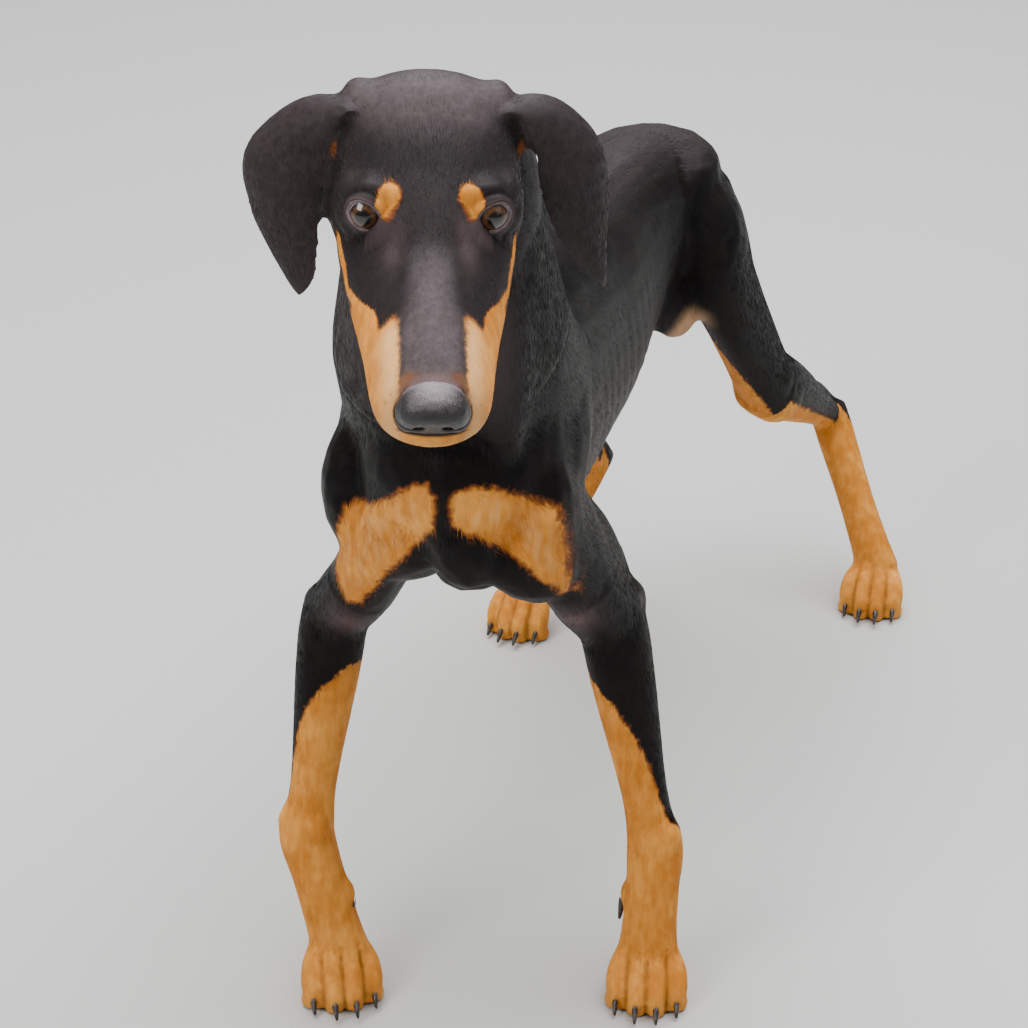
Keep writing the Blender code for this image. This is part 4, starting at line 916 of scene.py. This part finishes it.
# the coat
skin.calc_loop_triangles()
corners = read(skin.loop_triangles, "vertices", 3, np.int32)
a, b, c = (points[corners[:, k]] for k in range(3))
area = np.linalg.norm(np.cross(b - a, c - a), axis=1) / 2
owner = region[corners[:, 0]]
density = by_word(COAT_DENSITY, BODY_DENSITY)[owner] * 1e6
local = in_head((a + b + c) / 3)
face_part = np.isin(owner, [FLESH.index("head"), FLESH.index("lower_jaw")])
density = density * np.where(face_part & (local[:, 1] < -0.01), 1.7, 1.0)
eye_clear = np.ones(len(area))
for _, wing in SIDES:
    far, beyond = eye_view((a + b + c) / 3, wing)[:2]
    eye_clear *= np.where(far < 0.02, step(beyond, 0.0018, 0.0042), 1.0)
wet = line[corners[:, 0]]
bald = step(from_nose(points), 0.0020, 0.0008)[corners[:, 0]]
amount = area * density * eye_clear * (1 - wet) * (1 - bald) * 1.0
total = int(amount.sum())
chosen = np.searchsorted(np.cumsum(amount) / amount.sum(), draw.random(total))
chosen = np.sort(chosen.clip(0, len(area) - 1))
u, v = draw.random((2, total))
flip = u + v > 1
u, v = np.where(flip, 1 - u, u), np.where(flip, 1 - v, v)
w = 1 - u - v


def at_root(values):
    k = corners[chosen]
    if values.ndim == 1:
        return values[k[:, 0]] * w + values[k[:, 1]] * u + values[k[:, 2]] * v
    return values[k[:, 0]] * w[:, None] + values[k[:, 1]] * u[:, None] + values[k[:, 2]] * v[:, None]


root = at_root(points)
normal = unit(at_root(normals_of(skin)))
along = unit(at_root(lie))
along = unit(along - normal * dot(along, normal)[:, None])
across = np.cross(along, normal)
turn = draw.normal(0, 0.16, total)
along = along * np.cos(turn)[:, None] + across * np.sin(turn)[:, None]
across = np.cross(along, normal)
tuft_owner = owner[chosen]
length = near.spread(by_word(COAT_LENGTH, BODY_LENGTH)[region], 25)
length = at_root(length)
local = in_head(root)
head_owner = face_part[chosen]
length = length * np.where(head_owner, 0.45 + 0.55 * step(local[:, 1], -0.05, 0.05), 1.0)
length = length * draw.uniform(0.7, 1.2, total)
width = 0.00014 + 0.042 * length
width = width * draw.uniform(0.75, 1.25, total)
rise = 0.008 + 0.022 * draw.random(total)
tuft_paint = markings(root + draw.normal(0, 0.0006, root.shape), tuft_owner, normal)
tuft_paint["bare"] = tuft_paint["bare"] * 0.6
tuft_paint["shade"] = 0.7 * draw.random(total) ** 1.6
print("tufts", total, flush=True)

# where each tip comes to lie on the skin
skin_tree = BVHTree.FromPolygons(points.tolist(), corners.tolist())
reach = root + along * length[:, None]
landed = [skin_tree.find_nearest(p) for p in reach.tolist()]
tip_at = np.array([hit[0] for hit in landed])
tip_normal = np.array([hit[1] for hit in landed])
tip = tip_at + tip_normal * (length * rise)[:, None]
ridge = root + (tip_at - root) * 0.38 + normal * (0.00005 + 0.06 * width)[:, None]
left = root - across * (width / 2)[:, None] - normal * 0.0001
right = root + across * (width / 2)[:, None] - normal * 0.0001

# the unwrap that the coat's patches take their place from
proxy = bpy.data.meshes.new("unwrap")
joined = bmesh.new()
for name in FLESH:
    joined.from_mesh(NODES[name].data)
bmesh.ops.remove_doubles(joined, verts=joined.verts, dist=1e-5)
joined.to_mesh(proxy)
joined.free()
holder = bpy.data.objects.new("unwrap", proxy)
bpy.context.scene.collection.objects.link(holder)
bpy.context.view_layer.objects.active = holder
for other in bpy.context.view_layer.objects:
    other.select_set(other == holder)
bpy.ops.object.mode_set(mode="EDIT")
bpy.ops.mesh.select_all(action="SELECT")
bpy.ops.uv.smart_project(angle_limit=math.radians(66), island_margin=0.002)
bpy.ops.object.mode_set(mode="OBJECT")
proxy.calc_loop_triangles()
proxy_points = points_of(proxy)
proxy_corners = read(proxy.loop_triangles, "vertices", 3, np.int32)
proxy_loops = read(proxy.loop_triangles, "loops", 3, np.int32)
proxy_uv = read(proxy.uv_layers.active.uv, "vector", 2).astype(float)
proxy_tree = BVHTree.FromPolygons(proxy_points.tolist(), proxy_corners.tolist())
hits = [proxy_tree.find_nearest(p) for p in root.tolist()]
hit_face = np.array([h[2] for h in hits])
hit_at = np.array([h[0] for h in hits])
pa, pb, pc = (proxy_points[proxy_corners[hit_face, k]] for k in range(3))
e0, e1, e2 = pb - pa, pc - pa, hit_at - pa
d00, d01, d11, d20, d21 = dot(e0, e0), dot(e0, e1), dot(e1, e1), dot(e2, e0), dot(e2, e1)
scale = d00 * d11 - d01 * d01 + 1e-20
wb, wc = (d11 * d20 - d01 * d21) / scale, (d00 * d21 - d01 * d20) / scale
corner_uv = proxy_uv[proxy_loops[hit_face]]
patch = corner_uv[:, 0] * (1 - wb - wc)[:, None] + corner_uv[:, 1] * wb[:, None] + corner_uv[:, 2] * wc[:, None]
bpy.data.objects.remove(holder)

COAT_PIECES = {
    "coat_of_the_head": (("head", "lower_jaw"), "black_coat"),
    "coat_of_the_ears": (("left_ear", "right_ear"), "black_coat"),
    "coat_of_the_neck": (("neck",), "black_coat"),
    "coat_of_the_chest": (("chest",), "black_coat"),
    "coat_of_the_hindquarters": (("belly", "rump", "tail"), "black_coat"),
    "coat_of_the_forelegs": (("upper_arm", "forearm"), "black_coat"),
    "coat_of_the_hind_legs": (("thigh", "lower_leg"), "black_coat"),
    "coat_of_the_feet": (("pastern", "paw"), "tan_coat"),
}
coat_material = coat_finish("lying coat", False)
PATCH = np.array([(-0.0015, -0.0010), (0.0015, -0.0010), (0.0, 0.0002), (0.0, 0.0018)])
TUFT_FACES = np.array([(0, 1, 2), (0, 2, 3), (2, 1, 3), (1, 0, 3)], np.int32)


def coat_piece(name, nodes):
    members = [i for i, n in enumerate(FLESH) if any(n.endswith(w) for w in nodes)]
    pick = np.flatnonzero(np.isin(tuft_owner, members))
    count = len(pick)
    corner = np.stack([left[pick], right[pick], ridge[pick], tip[pick]], 1).reshape(-1, 3)
    faces = (TUFT_FACES[None] + 4 * np.arange(count)[:, None, None]).reshape(-1)
    mesh = bpy.data.meshes.new(name)
    mesh.vertices.add(count * 4)
    mesh.vertices.foreach_set("co", corner.astype(np.float32).ravel())
    mesh.loops.add(count * 12)
    mesh.loops.foreach_set("vertex_index", faces.astype(np.int32))
    mesh.polygons.add(count * 4)
    mesh.polygons.foreach_set("loop_start", np.arange(0, count * 12, 3, dtype=np.int32))
    mesh.update(calc_edges=True)
    layer = mesh.uv_layers.new(name="OFBake")
    places = (patch[pick][:, None] + PATCH[None]).reshape(-1, 2)
    layer.uv.foreach_set("vector", places[faces].astype(np.float32).ravel())
    carry(mesh, **{key: np.repeat(values[pick], 4) for key, values in tuft_paint.items()})
    print(name, count * 4, flush=True)
    return shown(name, mesh, coat_material, smooth=False)


for name, (nodes, slot) in COAT_PIECES.items():
    coat_piece(name, nodes)


# Eyes


def eye_finish():
    wet = Finish("eye", (0.09, 0.035, 0.012), Roughness=0.25, Coat_Weight=1.0, Coat_Roughness=0.03, IOR=1.38)
    at = wet.node("TexCoord", out="Object")
    apart = wet.node("SeparateXYZ", {}, {0: at})
    x, y = apart, Field(wet, apart.socket.node.outputs[1])
    far = (x * x + y * y) ** 0.5
    flat = wet.node("CombineXYZ", {}, {0: x / (far + 0.0003), 1: y / (far + 0.0003), 2: far * 260})
    fibres = wet.node("TexNoise", {}, {"Vector": flat, "Scale": 5.5, "Detail": 4.0, "Roughness": 0.7})
    iris = wet.mix(fibres.ramp(0.3, 0.7), (0.040, 0.0145, 0.0055), (0.130, 0.048, 0.016))
    iris = wet.mix(far.ramp(0.0048, 0.0064), iris, (0.010, 0.0055, 0.0045))
    iris = wet.mix(far.ramp(0.0043, 0.0031), iris, (0.0025, 0.002, 0.002))
    white = wet.mix(wet.noise(900.0).ramp(0.45, 0.75), (0.30, 0.31, 0.37), (0.34, 0.20, 0.20))
    colour = wet.mix(far.ramp(0.0063, 0.0069), iris, white)
    return wet.end(Base_Color=colour)


def eyeball(name, side, material):
    out, up, gaze = eye_axes(side)
    rows, turns = 40, 64
    rings = []
    for row in range(rows + 1):
        angle = math.pi * (row / rows) ** 1.25
        cornea = 0.00055 * math.exp(-((angle / 0.50) ** 2))
        rings.append((angle, EYE_RADIUS - 0.0001 + cornea))
    shape = bmesh.new()
    made = []
    for angle, radius in rings:
        ring = []
        for turn in range(turns if 0 < angle < math.pi - 1e-6 else 1):
            t = 2 * math.pi * turn / turns
            spot = (math.sin(angle) * math.cos(t), math.sin(angle) * math.sin(t), math.cos(angle))
            ring.append(shape.verts.new(Vector(spot) * radius))
        made.append(ring)
    for one, two in zip(made, made[1:]):
        for turn in range(turns):
            a1, a2 = one[turn % len(one)], one[(turn + 1) % len(one)]
            b1, b2 = two[turn % len(two)], two[(turn + 1) % len(two)]
            corners_here = list(dict.fromkeys((a1, b1, b2, a2)))
            shape.faces.new(corners_here)
    bmesh.ops.recalc_face_normals(shape, faces=shape.faces)
    mesh = bpy.data.meshes.new(name)
    shape.to_mesh(mesh)
    shape.free()
    piece = bpy.data.objects.new(name, mesh)
    bpy.context.scene.collection.objects.link(piece)
    turned = Matrix((out * side, up, gaze)).transposed().to_4x4()
    piece.matrix_world = Matrix.Translation(eye_centre(side)) @ turned
    mesh.materials.append(material)
    mesh.polygons.foreach_set("use_smooth", np.ones(len(mesh.polygons), bool))
    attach(piece, "root")
    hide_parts(name.replace("_ball", ""))
    return piece


def rim_finish():
    rim = Finish("rim of the lids", (0.12, 0.08, 0.085), Roughness=0.38)
    colour = rim.mix(rim.noise(420.0).ramp(0.4, 0.7), (0.115, 0.078, 0.084), (0.21, 0.145, 0.150))
    colour = rim.mix(rim.painted("pink"), colour, (0.42, 0.13, 0.11))
    colour = rim.mix(rim.painted("dark"), colour, (0.016, 0.012, 0.012))
    return rim.end(Base_Color=colour, Normal=rim.bump(rim.noise(2200.0), 0.25, 0.0004))


def lid_rims(name, side, material):
    """The soft roll along the edge of both lids, with the pink corner towards the nose."""
    out, up, gaze = eye_axes(side)
    centre = eye_centre(side)
    profile = (
        (-0.00050, -0.0012), (-0.00055, -0.0002), (-0.00040, 0.00045), (-0.00005, 0.00085),
        (0.00035, 0.00105), (0.00080, 0.00110), (0.00125, 0.00085), (0.00165, 0.00035), (0.0018, -0.0006),
    )
    turns = 96
    shape = bmesh.new()
    rings, pink, dark = [], [], []
    for k in range(turns):
        t = 2 * math.pi * k / turns
        here = Vector(lid_edge(t))
        ahead, back = Vector(lid_edge(t + 0.02)), Vector(lid_edge(t - 0.02))
        along_edge = (ahead - back).normalized()
        outward = Vector((along_edge.y, -along_edge.x))
        ring = []
        for aside, lift in profile:
            spot = here + outward * aside
            x, y = lid_place(spot.x, spot.y)
            reach = min(math.hypot(x, y) / EYE_RADIUS, 0.999)
            flat = Vector((x, y)).normalized() * reach
            d = out * flat.x + up * flat.y + gaze * math.sqrt(1 - reach * reach)
            thick = 1.15 if math.sin(t) > 0 else 0.95
            ring.append(shape.verts.new(centre + d * (EYE_RADIUS + lift * thick)))
            pink.append(max(0.0, -math.cos(t)) ** 10 * (1.0 if aside < 0 else 0.25))
            dark.append(min(1.0, max(0.0, (aside - 0.0003) / 0.0008)))
        rings.append(ring)
    for one, two in zip(rings, rings[1:] + rings[:1]):
        for k in range(len(profile) - 1):
            shape.faces.new((one[k], one[k + 1], two[k + 1], two[k]))
    bmesh.ops.recalc_face_normals(shape, faces=shape.faces)
    mesh = bpy.data.meshes.new(name)
    shape.to_mesh(mesh)
    shape.free()
    carry(mesh, pink=np.array(pink), dark=np.array(dark))
    return shown(name, mesh, material)


eye_material = eye_finish()
rim_material = rim_finish()
for name, wing in SIDES:
    eyeball(name + "_eye_ball", wing, eye_material)
    lid_rims(name + "_lid_rims", wing, rim_material)


# Nose and claws


def nose_finish():
    leather = Finish("nose leather", (0.020, 0.018, 0.020), Roughness=0.34, Coat_Weight=0.15, Coat_Roughness=0.30)
    at = leather.place()
    cells = leather.node("TexVoronoi", {"feature": "DISTANCE_TO_EDGE"}, {"Vector": at, "Scale": 1350.0})
    pebbles = cells.ramp(0.0, 0.28)
    colour = leather.mix(pebbles, (0.008, 0.007, 0.008), (0.022, 0.018, 0.020))
    # pink-grey on the top of the pad: the band at its back edge is its own colour, the patch in the middle of the top
    # is a painted highlight
    pink_top_and_highlight = leather.mix(pebbles, (0.110, 0.082, 0.092), (0.230, 0.178, 0.196))
    colour = leather.mix(leather.painted("upper"), colour, pink_top_and_highlight)
    # painted shade: near-black in the nostrils, where the pad is sunk
    colour = leather.mix(leather.painted("hollow"), colour, (0.0015, 0.0013, 0.0013))
    height = pebbles + 0.3 * leather.noise(2600.0)
    rough = leather.noise(300.0).ramp(0.3, 0.7, 0.38, 0.50)
    return leather.end(Base_Color=colour, Roughness=rough, Normal=leather.bump(height, 0.35, 0.00025))


def claw_finish():
    horn = Finish("claw horn", (0.03, 0.024, 0.020), Roughness=0.32)
    grain = horn.noise(700.0, (1, 0.25, 1), detail=4.0)
    colour = horn.mix(grain.ramp(0.35, 0.7), (0.014, 0.011, 0.010), (0.075, 0.055, 0.045))
    return horn.end(Base_Color=colour, Normal=horn.bump(grain, 0.3, 0.0003))


def nose_piece(material):
    shape = welded_copy("nose", 0.0)
    mesh = bpy.data.meshes.new("nose_leather")
    shape.to_mesh(mesh)
    shape.free()
    mesh = remeshed(mesh, 0.0005)
    near = Neighbours(mesh)
    full = np.ones(len(mesh.vertices))
    points = near.smooth(points_of(mesh), 6, 0.7 * full)
    move_points(mesh, points)
    normal = normals_of(mesh)
    filled = near.spread(points, 160, 0.5)
    # sunk marks the nostrils: it keeps them out of the lift below, and is painted dark as shade
    sunk = step(dot(filled - points, normal), 0.0004, 0.0013)
    facing = normal @ np.array(HEAD_TURN)
    at = in_head(points)
    # upper: the middle of the top is a painted highlight; the band next to the bridge is the pad's own pink-grey
    upper = step(facing[:, 2], 0.30, 0.80) * hill(at[:, 0], 0.0, 0.0082) * step(at[:, 1], -0.1095, -0.1010)
    upper = np.maximum(upper, 0.9 * step(at[:, 1], -0.0990, -0.0960) * step(facing[:, 2], 0.3, 0.7))
    carry(mesh, upper=upper, hollow=sunk)
    move_points(mesh, points + normal * (0.00030 * (1 - sunk))[:, None])
    return shown("nose_leather", mesh, material, ["nose"])


def claw_piece(node, material):
    shape = welded_copy(node, 0.00015)
    mesh = bpy.data.meshes.new(node + "_horn")
    shape.to_mesh(mesh)
    shape.free()
    piece = bpy.data.objects.new("claw", mesh)
    bpy.context.scene.collection.objects.link(piece)
    change = piece.modifiers.new("round", "SUBSURF")
    change.levels = change.render_levels = 2
    made = bpy.data.meshes.new_from_object(piece.evaluated_get(bpy.context.evaluated_depsgraph_get()))
    bpy.data.objects.remove(piece)
    return shown(node + "_horn", made, material, [node])


nose_piece(nose_finish())
claw_material = claw_finish()
for name in sorted(NODES):
    if "claw" in name:
        claw_piece(name, claw_material)


# Floor


def floor():
    mesh = bpy.data.meshes.new("floor")
    half = 40.0
    corners = [(-half, -half, 0), (half, -half, 0), (half, half, 0), (-half, half, 0)]
    mesh.from_pydata(corners, [], [(0, 1, 2, 3)])
    piece = bpy.data.objects.new("floor", mesh)
    bpy.context.scene.collection.objects.link(piece)
    mesh.materials.append(Finish("pale floor", (0.56, 0.56, 0.54), Roughness=0.85, Specular_IOR_Level=0.2).material)


floor()
